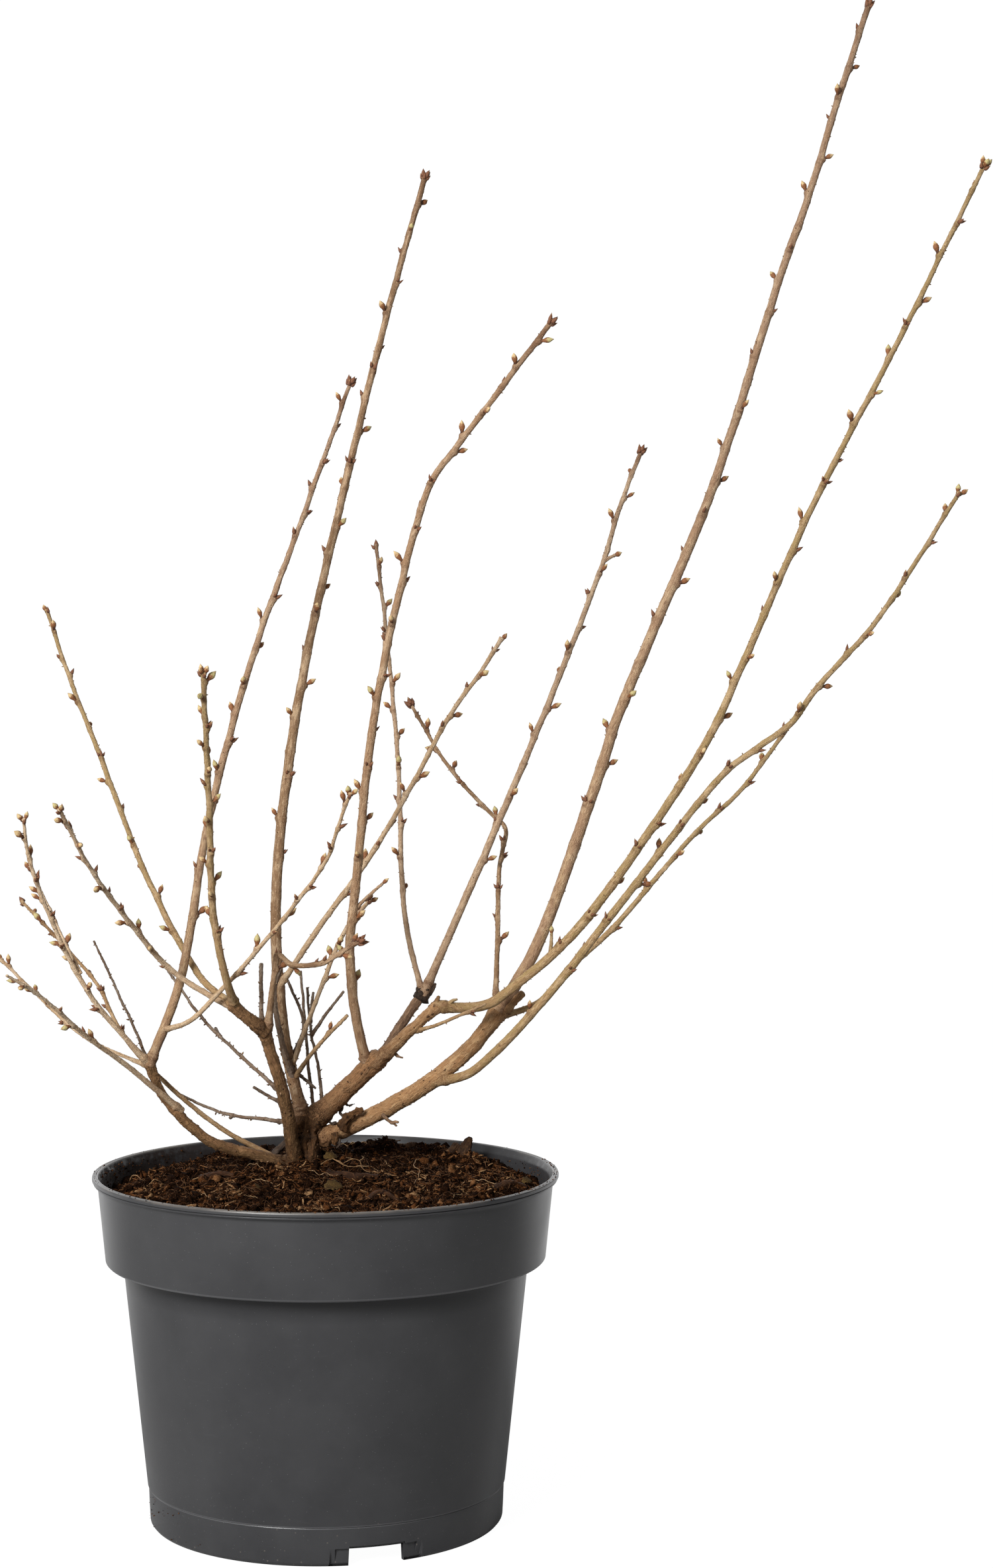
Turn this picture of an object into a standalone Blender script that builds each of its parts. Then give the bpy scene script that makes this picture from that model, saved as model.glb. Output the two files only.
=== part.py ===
"""A flowering cherry shrub in winter, bare but for its buds, in a dark grey nursery pot full of peat.

Metres, +Z up, +Y to the back. The origin is the middle of the pot's underside, on the ground. Every limb is a
tapering tube along a smooth curve. A limb that grows from another is cut to its bark with a hair's gap, and a
shoot has its buds and short spurs fused on.
"""

import math
from typing import NamedTuple

import bmesh
import bpy
import numpy as np
from mathutils import Matrix, Vector, noise

MM = 0.001
GAP = 0.3
WELD = 0.000002

# Pot, in millimetres
POT_HEIGHT = 168.2
RIM_RADIUS = 112.5
RIM_WIDTH = 3.0
LIP_HEIGHT = 3.4
COLLAR_TOP_RADIUS = 109.8
COLLAR_FOOT_RADIUS = 106.2
COLLAR_FOOT = 126.5
INNER_LEDGE = 125.6
BODY_TOP_RADIUS = 97.4
BODY_FOOT_RADIUS = 86.5
FOOT_BAND = 18.5
FOOT_RADIUS = 85.3
WALL = 1.7
FLOOR_UNDERSIDE = 9.5
FLOOR = 11.5
FOOT_RING_WIDTH = 3.8
PAD_RADIUS = 22.0
FLOOR_CORNER = 1.6
POT_STEPS = 40
POT_CREASE = math.radians(35.0)

# Foot notches and drain holes
NOTCH_HEIGHT = 8.3
NOTCH_HEADINGS = (19.0, 139.0, 259.0)
RECESS_HALF_ANGLES = (15.4, 13.2)
RECESS_DEPTH = 1.4
OPENING_HALF_ANGLE = 9.0
OPENING_DROP = 0.4
CUTTER_REACH = 6.0
DRAIN_HOLES = 5
DRAIN_HOLE_SIDES = 8
DRAIN_HOLE_RADIUS = 4.5
DRAIN_HOLE_CIRCLE = 54.0

# Soil
SOIL_LEVEL = 160.5
MOUND_HEIGHT = 8.5
MOUND_SPREAD = 46.0
MOUND_MIDDLE = (-8.0, 22.0)
SIDE_DROP = 4.5
SIDE_DROP_START = 0.74
SOIL_LUMPS = 1.6
SOIL_LUMP_SIZE = 13.0
SOIL_LUMP_LAYER = 7.0
SOIL_RINGS = (0.97, 0.82, 0.66, 0.50, 0.34, 0.18)
SOIL_STEPS = 32
SOIL_EDGE_DROP = 3.5
SOIL_CLEAR = 0.7

# Limbs: ring spacing, and rounded ends as shares of the radius there
LONGEST_STEP = 28.0
LAST_STEP = 8.0
LARGEST_TURN = math.radians(10.0)
CURVE_FINENESS = 24
FOOT_FLARE = 0.35
FLARE_LENGTH = 6.0
FOOT_END = 0.35
FOOT_END_THICK = 0.7
TIP_END = 0.45
TIP_END_THICK = 0.55
LIMB_CREASE = math.radians(50.0)

# Buds and spurs: buds a golden turn apart that crowd a little towards the tip
GOLDEN_TURN = 137.5
TURN_PLAY = 15.0
SPACING_PLAY = 0.22
CROWDING = 0.9
LAST_BUD = 0.985
BUD_SIZES = (0.85, 1.12)
SMALL_BUD_SHARE = 0.5
BUD_SIDES = 3
BUD_LENGTH = 4.9
BUD_WIDTH = 2.3
BUD_WIDEST = 0.42
BUD_LEAN = 38.0
BUD_SEAT = 0.25
TIP_BUD_LEAN = 24.0
LONE_TIP_BUD_LEAN = 5.0
TIP_BUD_DEPTH = 1.4
SPUR_LEAN = 42.0
SPUR_THICK = (1.7, 1.3)
SPUR_MIDDLE = 0.6
SPUR_BUD_DEPTH = 1.2


class Limb(NamedTuple):
    """A limb from foot to tip: the limbs it is cut clear of, its thickness at foot and tip, its way in
    millimetres right of, behind and above the pot's middle, its finish, and what grows on it."""

    name: str
    clear_of: tuple
    thick: tuple
    way: tuple
    finish: str
    sides: int = 6
    buds: int = 0
    first: float = 0.2
    turn: float = 0.0
    spurs: tuple = ()
    tip_buds: int = 0


# The old wood: the crown that all stems spring from, and the boughs
BOUGHS = (
    Limb("root_crown", (), (16.5, 15.0), ((-13, 25, 166), (-12, 25, 176), (-11, 27, 188)), "old_wood", 10),
    Limb("front_bough", ("root_crown",), (7.0, 5.3),
         ((-16, 19, 168), (-17, 13, 178), (-21, 2, 206), (-29, -12, 238)), "wood", 8),
    Limb("front_arm", ("front_bough",), (5.9, 5.1), ((-28, -12, 237), (-36, -15, 244), (-44, -18, 251)),
         "wood", 8),
    Limb("left_bough", ("root_crown", "front_bough"), (5.8, 4.3),
         ((-16, 21, 167), (-42, 16, 175), (-58, 13, 181), (-80, 8, 204), (-86, 5, 220)), "wood", 8),
    Limb("middle_bough", ("root_crown", "front_bough"), (10.7, 8.6),
         ((-12, 27, 185), (6, 24, 202), (25, 18, 221)), "wood", 8),
    Limb("tan_branch", ("middle_bough",), (6.2, 5.0), ((23, 17, 218), (40, 9, 235), (54, 2, 248)), "wood", 8),
    Limb("dark_branch", ("middle_bough", "tan_branch"), (5.0, 4.4),
         ((25, 20, 218), (36, 25, 237), (47, 30, 252)), "dark_wood", 8),
    Limb("right_bough", ("root_crown", "middle_bough"), (8.8, 7.6),
         ((-10, 26, 178), (17, 25, 189), (48, 23, 207), (73, 21, 229), (83, 20, 243)), "wood", 8),
)

LIMBS_IN_SOIL = ("root_crown", "front_bough", "left_bough", "far_left_back_shoot")

# The long shoots, from left to right
SHOOTS = (
    Limb("far_left_shoot", ("left_bough",), (2.8, 1.5),
         ((-86, 5, 219), (-114, -16, 259), (-135, -45, 319), (-137, -55, 342)),
         "tan", buds=9, turn=200, tip_buds=2),
    Limb("far_left_side_shoot", ("far_left_shoot",), (1.9, 1.5),
         ((-116, -19, 266), (-123, -16, 279), (-142, -5, 316)), "tan", 4, buds=5, turn=160, tip_buds=1),
    Limb("far_left_back_shoot", ("root_crown", "left_bough"), (2.6, 1.3),
         ((-22, 31, 167), (-57, 24, 188), (-98, 16, 229), (-114, 33, 254), (-132, 47, 272), (-157, 65, 294)),
         "tan", 4, buds=9, first=0.5, turn=20, tip_buds=1),
    Limb("low_left_branch", ("left_bough",), (3.1, 1.2),
         ((-71, 10, 196), (-97, -13, 223), (-109, -29, 235), (-131, -62, 262), (-142, -75, 271)),
         "dark", buds=5, first=0.45, turn=90),
    Limb("low_left_twig", ("left_bough", "far_left_shoot"), (1.9, 1.5),
         ((-86, 6, 218), (-118, 15, 231), (-146, 24, 254), (-162, 30, 268)),
         "tan", 4, buds=6, first=0.35, tip_buds=1),
    Limb("left_tall_shoot", ("left_bough", "far_left_shoot", "low_left_twig"), (4.7, 1.9),
         ((-86, 5, 219), (-71, 6, 260), (-57, 8, 338), (-36, 11, 416), (-9, 13, 491), (12, 15, 550)),
         "purple", buds=18, turn=30, tip_buds=3),
    Limb("thin_diagonal_shoot", ("left_tall_shoot",), (2.5, 1.5),
         ((-79, 5, 236), (-64, -12, 243), (-49, -20, 258), (-20, -41, 291), (5, -63, 325), (9, -70, 337),
          (16, -79, 355)),
         "tan", buds=10, first=0.3, tip_buds=2),
    Limb("lower_left_shoot", ("front_arm",), (3.0, 1.7),
         ((-37, -15, 245), (-73, -8, 266), (-92, -30, 293), (-106, -56, 319), (-116, -85, 348)),
         "green", buds=12, first=0.25, turn=150, tip_buds=2),
    Limb("left_middle_shoot", ("front_arm", "lower_left_shoot"), (3.4, 1.9),
         ((-42, -17, 250), (-58, 2, 259), (-69, 19, 271), (-91, 41, 308), (-118, 72, 367), (-136, 93, 406),
          (-150, 110, 441)),
         "green", buds=12, first=0.2, turn=200, tip_buds=1),
    Limb("budded_upright_shoot", ("front_arm", "left_middle_shoot", "lower_left_shoot"), (3.9, 2.2),
         ((-42, -17, 250), (-45, -30, 263), (-50, -43, 295), (-50, -63, 348), (-50, -90, 410)),
         "green", buds=17, first=0.22, tip_buds=3),
    Limb("curved_front_shoot", ("front_arm", "front_bough"), (3.1, 1.9),
         ((-27, -12, 238), (-24, -19, 262), (-21, -22, 275), (-15, -24, 271), (1, -27, 272), (8, -29, 277),
          (19, -32, 283)),
         "tan", buds=7, first=0.3, tip_buds=2),
    Limb("centre_tall_shoot", ("root_crown", "middle_bough", "front_bough"), (5.9, 2.7),
         ((-13, 28, 187), (-17, 27, 206), (-22, 27, 230), (-26, 27, 295), (-16, 36, 391), (9, 46, 508),
          (28, 53, 586), (47, 60, 656)),
         "purple", buds=22, first=0.25, turn=40, tip_buds=3),
    Limb("long_diagonal_shoot", ("centre_tall_shoot",), (2.9, 2.0),
         ((-25, 26, 254), (-2, 20, 288), (21, 19, 320), (41, 24, 354), (60, 29, 389), (73, 32, 407),
          (85, 35, 426)),
         "tan", buds=12, first=0.25, tip_buds=1),
    Limb("tan_green_shoot", ("centre_tall_shoot",), (2.3, 1.9),
         ((-18, 26, 216), (-8, 12, 243), (9, 13, 284), (21, 13, 299)),
         "tan", 4, buds=5, first=0.45, tip_buds=3),
    Limb("slanting_twig", ("centre_tall_shoot", "tan_green_shoot"), (2.2, 1.7),
         ((-17, 26, 210), (-5, 10, 227), (10, 7, 243)), "tan", 4, buds=1, first=0.5, turn=130),
    Limb("kinked_centre_shoot", ("middle_bough", "tan_branch", "dark_branch"), (5.0, 2.4),
         ((20, 21, 212), (15, 12, 236), (12, 5, 260), (12, 0, 284), (15, -4, 309), (23, -17, 380),
          (37, -31, 448), (52, -41, 498), (63, -45, 513), (77, -50, 531), (108, -60, 571)),
         "brown", buds=24, first=0.1, turn=60, spurs=((0.22, 20, 10),), tip_buds=2),
    Limb("thin_centre_shoot", ("dark_branch",), (2.8, 1.7),
         ((46, 30, 250), (37, 41, 288), (33, 61, 365), (25, 82, 442), (21, 90, 474)),
         "brown", buds=13, turn=80, tip_buds=1),
    Limb("right_middle_shoot", ("dark_branch", "thin_centre_shoot"), (4.1, 2.1),
         ((46, 29, 250), (79, 37, 325), (109, 61, 395), (137, 86, 466), (146, 96, 495), (157, 105, 523)),
         "brown", buds=15, turn=10, spurs=((0.79, 7, 0),), tip_buds=3),
    Limb("right_tall_shoot", ("tan_branch",), (5.0, 1.9),
         ((53, 3, 248), (67, 4, 247), (79, 5, 249), (93, 5, 259), (119, -2, 283), (163, -22, 346),
          (183, -32, 380), (198, -42, 415), (228, -63, 487), (262, -85, 556), (278, -96, 590),
          (298, -110, 634)),
         "green", buds=24, first=0.12, turn=150, spurs=((0.13, 12, 160),), tip_buds=3),
    Limb("crossing_shoot", ("right_tall_shoot",), (2.6, 1.6),
         ((82, 5, 251), (83, 24, 282), (84, 44, 314), (87, 53, 331), (80, 58, 338), (59, 77, 360),
          (38, 100, 393)),
         "brown", buds=12, first=0.12, tip_buds=3),
    Limb("tallest_shoot", ("right_bough", "right_tall_shoot"), (6.2, 3.0),
         ((81, 20, 240), (92, 22, 257), (103, 25, 277), (130, 36, 350), (143, 41, 389), (158, 46, 425),
          (189, 57, 498), (226, 72, 611), (240, 77, 650), (251, 82, 686), (271, 90, 747)),
         "purple", buds=25, first=0.14, turn=100, tip_buds=3),
    Limb("outer_right_shoot", ("right_bough",), (4.6, 1.9),
         ((50, 22, 208), (68, 16, 213), (82, 10, 225), (107, 2, 253), (155, -11, 316), (190, -20, 361),
          (206, -24, 374), (221, -28, 385), (233, -31, 402), (259, -37, 432), (297, -50, 493)),
         "green", buds=19, first=0.15, turn=170, tip_buds=2),
    Limb("outer_side_shoot", ("right_bough", "tallest_shoot"), (3.1, 1.9),
         ((82, 21, 240), (103, 27, 247), (119, 31, 264), (140, 36, 283), (183, 48, 331), (203, 53, 349),
          (235, 62, 390)),
         "green", buds=8, first=0.3, turn=20, tip_buds=1),
)

# Dead and cut twigs with no buds
DEAD_TWIGS = (
    Limb("dead_left_twig", ("left_bough", "left_tall_shoot", "far_left_shoot", "low_left_twig"), (1.5, 1.0),
         ((-85, 7, 216), (-95, 13, 238), (-116, 30, 277)), "dead", 4),
    Limb("dark_low_twig", ("front_bough",), (1.9, 1.2), ((-20, 7, 191), (-53, 24, 193), (-78, 35, 202)),
         "dead", 4, spurs=((0.45, 3, 100),)),
    Limb("dead_long_twig", ("front_bough",), (1.9, 1.2), ((-23, 1, 207), (-63, 28, 240), (-83, 45, 264)),
         "dead", 4, spurs=((0.46, 12, 60),)),
    Limb("stub_twig", ("front_bough",), (1.6, 1.3), ((-22, 3, 201), (-28, 4, 204), (-35, 0, 209)), "dead", 4),
    Limb("broken_dark_twig", ("centre_tall_shoot", "tan_green_shoot", "slanting_twig"), (3.2, 2.3),
         ((-17, 27, 207), (-23, 16, 232), (-26, 13, 253), (-23, 12, 265)), "dead"),
    Limb("cut_twig", ("front_arm", "front_bough", "curved_front_shoot"), (2.0, 1.9),
         ((-30, -12, 240), (-31, -2, 269)), "dead"),
    Limb("bent_dead_twig", ("centre_tall_shoot", "tan_green_shoot"), (1.6, 1.3),
         ((-19, 27, 219), (-13, 35, 235), (-23, 42, 260)), "dead", 4),
    Limb("back_dead_twig", ("root_crown", "middle_bough", "centre_tall_shoot"), (1.7, 1.3),
         ((-7, 31, 186), (-11, 42, 213), (-16, 60, 259)), "dead", 4),
    Limb("forked_dead_twig", ("middle_bough",), (1.6, 1.3),
         ((-3, 27, 195), (-7, 41, 217), (-10, 44, 230), (-12, 48, 252)), "dead", 4,
         spurs=((0.62, 27, -5), (0.72, 22, 80))),
    Limb("cross_twig", ("centre_tall_shoot", "slanting_twig", "broken_dark_twig", "tan_green_shoot"),
         (1.4, 1.2), ((-17, 27, 213), (-7, 31, 204)), "dead", 4),
    Limb("tan_side_twig", ("tan_branch",), (1.8, 1.4),
         ((43, 8, 235), (55, -3, 240), (67, -9, 246), (77, -7, 250)), "tan", 4, buds=1, first=0.6),
    Limb("cut_stub", ("right_bough", "tallest_shoot", "outer_side_shoot"), (3.2, 3.0),
         ((86, 19, 238), (95, 14, 253)), "dead"),
)

# Colour and roughness of each finish
FINISHES = {
    "old_wood": ((0.13, 0.075, 0.045), 0.9),
    "wood": ((0.27, 0.16, 0.09), 0.8),
    "dark_wood": ((0.12, 0.08, 0.06), 0.85),
    "tan": ((0.36, 0.24, 0.13), 0.7),
    "brown": ((0.24, 0.14, 0.09), 0.7),
    "purple": ((0.20, 0.12, 0.10), 0.65),
    "green": ((0.26, 0.21, 0.10), 0.7),
    "dark": ((0.14, 0.09, 0.07), 0.8),
    "dead": ((0.12, 0.10, 0.09), 0.9),
    "pot": ((0.065, 0.065, 0.068), 0.45),
    "soil": ((0.055, 0.025, 0.014), 0.95),
}


def clear_scene():
    for thing in list(bpy.data.objects):
        bpy.data.objects.remove(thing, do_unlink=True)
    for group in list(bpy.data.collections):
        bpy.data.collections.remove(group)


def new_collection(name, helper=False):
    group = bpy.data.collections.new(name)
    bpy.context.scene.collection.children.link(group)
    group.hide_render = helper
    return group


def add_object(name, mesh, group):
    thing = bpy.data.objects.new(name, mesh)
    group.objects.link(thing)
    return thing


def make_helper(thing):
    thing.hide_render = True
    thing.display_type = "WIRE"
    return thing


def give_finish(thing, finish):
    """Put the object's own material on it."""
    colour, roughness = FINISHES[finish]
    material = bpy.data.materials.new(thing.name)
    material.use_nodes = True
    shader = material.node_tree.nodes["Principled BSDF"]
    shader.inputs["Base Color"].default_value = (*colour, 1.0)
    shader.inputs["Roughness"].default_value = roughness
    shader.inputs["Metallic"].default_value = 0.0
    material.diffuse_color = (*colour, 1.0)
    thing.data.materials.clear()
    thing.data.materials.append(material)


def apply_modifiers(thing):
    """Replace the object's mesh by what its modifiers make of it."""
    evaluated = thing.evaluated_get(bpy.context.evaluated_depsgraph_get())
    mesh = bpy.data.meshes.new_from_object(evaluated)
    thing.modifiers.clear()
    thing.data = mesh
    return thing


def add_boolean(thing, operation, group, solver="EXACT"):
    modifier = thing.modifiers.new(operation.lower(), "BOOLEAN")
    modifier.operation = operation
    modifier.operand_type = "COLLECTION"
    modifier.collection = group
    modifier.solver = solver


def keep_largest_piece(mesh):
    """Drop the scraps that a cut leaves loose, and merge what lies closer than a weld."""
    shape = bmesh.new()
    shape.from_mesh(mesh)
    bmesh.ops.remove_doubles(shape, verts=shape.verts, dist=WELD)
    bmesh.ops.triangulate(shape, faces=shape.faces)
    pieces = []
    seen = set()
    for start in shape.verts:
        if start in seen:
            continue
        piece = {start}
        front = [start]
        while front:
            corner = front.pop()
            for edge in corner.link_edges:
                other = edge.other_vert(corner)
                if other not in piece:
                    piece.add(other)
                    front.append(other)
        seen |= piece
        pieces.append(piece)
    pieces.sort(key=len)
    for scrap in pieces[:-1]:
        bmesh.ops.delete(shape, geom=list(scrap), context="VERTS")
    shape.to_mesh(mesh)
    shape.free()


def remove_collection(group):
    for thing in list(group.objects):
        bpy.data.objects.remove(thing, do_unlink=True)
    bpy.data.collections.remove(group)


def smooth_way(way):
    """Finely spaced points on a curve through the way's places: between two places a cubic, whose slope at a
    place is the mean of the runs on both sides, each weighted by the root of the other's length."""
    place = np.array(way, float)
    root_length = np.linalg.norm(np.diff(place, axis=0), axis=1) ** 0.5
    run = np.diff(place, axis=0) / root_length[:, None]
    slope = np.vstack([run[:1], np.zeros((len(place) - 2, 3)), run[-1:]])
    before = root_length[:-1, None]
    after = root_length[1:, None]
    slope[1:-1] = (run[:-1] * after + run[1:] * before) / (before + after)
    u = np.linspace(0.0, 1.0, CURVE_FINENESS, endpoint=False)[:, None]
    pieces = []
    for i, span in enumerate(root_length):
        pieces.append((2 * u**3 - 3 * u**2 + 1) * place[i] + (u**3 - 2 * u**2 + u) * span * slope[i]
                      + (3 * u**2 - 2 * u**3) * place[i + 1] + (u**3 - u**2) * span * slope[i + 1])
    return np.vstack(pieces + [place[-1:]])


def lengths_along(points):
    return np.concatenate([[0.0], np.cumsum(np.linalg.norm(np.diff(points, axis=0), axis=1))])


def limb_radius(limb, along, whole):
    """Even taper from foot to tip, with a short flare at the foot."""
    share = along / whole
    even = (limb.thick[0] + (limb.thick[1] - limb.thick[0]) * share) / 2.0
    return even * (1.0 + FOOT_FLARE * math.exp(-along / FLARE_LENGTH))


def limb_stations(limb):
    """Places and radii of the limb's rings: a ring each LONGEST_STEP, and closer where the limb bends."""
    fine = smooth_way(limb.way)
    along = lengths_along(fine)
    chosen = [0]
    heading = fine[1] - fine[0]
    for i in range(1, len(fine) - 1):
        here = fine[i + 1] - fine[i]
        cosine = heading @ here / (np.linalg.norm(heading) * np.linalg.norm(here))
        turned = math.acos(min(1.0, cosine))
        far = along[i] - along[chosen[-1]] > LONGEST_STEP
        near_end = along[-1] - along[i] < LAST_STEP
        if (far and not near_end) or turned > LARGEST_TURN:
            chosen.append(i)
            heading = here
    chosen.append(len(fine) - 1)
    radii = [limb_radius(limb, along[i], along[-1]) for i in chosen]
    return fine[chosen], radii


def tube(name, points, radii, sides, group):
    """A closed tube as a mesh: a bevelled curve whose caps are welded on."""
    curve = bpy.data.curves.new(name, "CURVE")
    curve.dimensions = "3D"
    curve.bevel_depth = MM
    curve.bevel_resolution = sides // 2 - 2
    curve.use_fill_caps = True
    line = curve.splines.new("POLY")
    line.points.add(len(points) - 1)
    for corner, place, radius in zip(line.points, points, radii):
        corner.co = (*(Vector(place) * MM), 1.0)
        corner.radius = radius
    source = add_object(name + "_curve", curve, group)
    evaluated = source.evaluated_get(bpy.context.evaluated_depsgraph_get())
    mesh = bpy.data.meshes.new_from_object(evaluated)
    bpy.data.objects.remove(source, do_unlink=True)
    bpy.data.curves.remove(curve)
    shape = bmesh.new()
    shape.from_mesh(mesh)
    bmesh.ops.remove_doubles(shape, verts=shape.verts, dist=WELD)
    bmesh.ops.triangulate(shape, faces=shape.faces)
    bmesh.ops.recalc_face_normals(shape, faces=shape.faces)
    shape.to_mesh(mesh)
    shape.free()
    return add_object(name, mesh, group)


def limb_tube(limb, group, swell=0.0, name=None):
    """The limb's tube with rounded ends, made thicker and longer by `swell` when it serves as a cutter."""
    points, radii = limb_stations(limb)
    radii = [radius + swell for radius in radii]
    start = points[0] - points[1]
    end = points[-1] - points[-2]
    start *= (FOOT_END * radii[0] + swell) / np.linalg.norm(start)
    end *= (TIP_END * radii[-1] + swell) / np.linalg.norm(end)
    points = np.vstack([points[:1] + start, points, points[-1:] + end])
    radii = [FOOT_END_THICK * radii[0], *radii, TIP_END_THICK * radii[-1]]
    return tube(name or limb.name, points, radii, limb.sides, group)


def frame_at(fine, along, distance):
    """Place, heading, right and back directions of a limb at a distance from its foot."""
    i = int(np.clip(np.searchsorted(along, distance), 1, len(fine) - 1))
    share = (distance - along[i - 1]) / (along[i] - along[i - 1])
    place = fine[i - 1] + (fine[i] - fine[i - 1]) * share
    heading = fine[i] - fine[i - 1]
    heading /= np.linalg.norm(heading)
    right = np.array([1.0, 0.0, 0.0])
    right -= heading * (right @ heading)
    right /= np.linalg.norm(right)
    return place, heading, right, np.cross(heading, right)


def side_of(right, back, turn):
    """The direction out of a limb on the side given by `turn`, in degrees."""
    return right * math.cos(math.radians(turn)) + back * math.sin(math.radians(turn))


def leaning(heading, side, lean):
    """The direction that leans off a limb's heading towards a side by `lean`, in degrees."""
    return heading * math.cos(math.radians(lean)) + side * math.sin(math.radians(lean))


def bud_rows(limb, whole):
    """The limb's plump side buds by a seeded rule: distance from the foot, turn round the limb, and size. The
    small pointed buds between them have their turn in the rule too, but are too thin for a solid."""
    seed = sum(ord(letter) for letter in limb.name)
    chance = np.random.default_rng(seed)
    rows = []
    for i in range(limb.buds):
        share = ((i + 0.5 + chance.uniform(-SPACING_PLAY, SPACING_PLAY)) / limb.buds) ** CROWDING
        distance = whole * (limb.first + (LAST_BUD - limb.first) * share)
        turn = limb.turn + GOLDEN_TURN * i + chance.uniform(-TURN_PLAY, TURN_PLAY)
        plump = chance.random() > SMALL_BUD_SHARE
        size = chance.uniform(*BUD_SIZES)
        if plump:
            rows.append((distance, turn, size))
    return rows


def add_bud(place, direction, length, width, group):
    """A bud: a slim pyramid on a short blunt one, its lower point sunk in the limb."""
    shape = bmesh.new()
    bmesh.ops.create_cone(shape, cap_ends=True, segments=BUD_SIDES, radius1=width / 2, radius2=0.0,
                          depth=length * (1.0 - BUD_WIDEST))
    bmesh.ops.translate(shape, verts=shape.verts, vec=(0.0, 0.0, length * (1.0 + BUD_WIDEST) / 2))
    underside = min(shape.faces, key=lambda face: face.calc_center_median().z)
    root = bmesh.ops.poke(shape, faces=[underside])["verts"][0]
    root.co.z = 0.0
    turn = Vector(direction).to_track_quat("Z", "Y").to_matrix().to_4x4()
    seated = Matrix.Scale(MM, 4) @ Matrix.Translation(place) @ turn
    bmesh.ops.transform(shape, verts=shape.verts, matrix=seated)
    bmesh.ops.recalc_face_normals(shape, faces=shape.faces)
    mesh = bpy.data.meshes.new("bud")
    shape.to_mesh(mesh)
    shape.free()
    add_object("bud", mesh, group)


def add_side_buds(limb, fine, along, group):
    for distance, turn, size in bud_rows(limb, along[-1]):
        place, heading, right, back = frame_at(fine, along, distance)
        side = side_of(right, back, turn)
        seat = place + side * limb_radius(limb, distance, along[-1]) * BUD_SEAT
        add_bud(seat, leaning(heading, side, BUD_LEAN), BUD_LENGTH * size, BUD_WIDTH * size, group)


def add_tip_buds(limb, fine, along, group):
    place, heading, right, back = frame_at(fine, along, along[-1] - TIP_BUD_DEPTH)
    lean = TIP_BUD_LEAN if limb.tip_buds > 1 else LONE_TIP_BUD_LEAN
    for i in range(limb.tip_buds):
        side = side_of(right, back, limb.turn + 360.0 * i / limb.tip_buds)
        add_bud(place, leaning(heading, side, lean), BUD_LENGTH, BUD_WIDTH, group)


def add_spurs(limb, fine, along, group):
    """Short side twigs, each with a bud at its end when its limb is alive."""
    foot_radius = SPUR_THICK[0] / 2
    tip_radius = SPUR_THICK[1] / 2
    middle_radius = foot_radius + (tip_radius - foot_radius) * SPUR_MIDDLE
    for share, length, turn in limb.spurs:
        place, heading, right, back = frame_at(fine, along, share * along[-1])
        direction = leaning(heading, side_of(right, back, turn), SPUR_LEAN)
        end = place + direction * length
        points = [place, place + direction * length * SPUR_MIDDLE, end]
        tube("spur", points, (foot_radius, middle_radius, tip_radius), 4, group)
        if limb.finish != "dead":
            add_bud(end - direction * SPUR_BUD_DEPTH, direction, BUD_LENGTH, BUD_WIDTH, group)


def build_limb(limb, every_limb, parts):
    """The limb with its buds and spurs fused on, then cut clear of the limbs it stands against."""
    thing = limb_tube(limb, parts)
    growth = new_collection(limb.name + "_growth", helper=True)
    fine = smooth_way(limb.way)
    along = lengths_along(fine)
    add_side_buds(limb, fine, along, growth)
    add_tip_buds(limb, fine, along, growth)
    add_spurs(limb, fine, along, growth)
    if growth.objects:
        add_boolean(thing, "UNION", growth)
        apply_modifiers(thing)
    remove_collection(growth)
    if limb.clear_of:
        cutters = new_collection(limb.name + "_cutters", helper=True)
        for neighbour in limb.clear_of:
            make_helper(limb_tube(every_limb[neighbour], cutters, GAP, limb.name + "_cutter"))
        add_boolean(thing, "DIFFERENCE", cutters)
        apply_modifiers(thing)
        remove_collection(cutters)
    keep_largest_piece(thing.data)
    thing.data.shade_smooth()
    thing.data.set_sharp_from_angle(angle=LIMB_CREASE)
    give_finish(thing, limb.finish)


def turned(name, outline, steps, group):
    """A turned solid: the outline, as radius and height in millimetres, swept once round the Z axis."""
    mesh = bpy.data.meshes.new(name)
    shape = bmesh.new()
    corners = [shape.verts.new((radius * MM, 0.0, height * MM)) for radius, height in outline]
    for first, second in zip(corners, corners[1:]):
        shape.edges.new((first, second))
    shape.to_mesh(mesh)
    shape.free()
    thing = add_object(name, mesh, group)
    screw = thing.modifiers.new("turn", "SCREW")
    screw.steps = steps
    screw.render_steps = steps
    screw.use_merge_vertices = True
    screw.merge_threshold = 0.00001
    screw.use_smooth_shade = True
    return apply_modifiers(thing)


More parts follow.
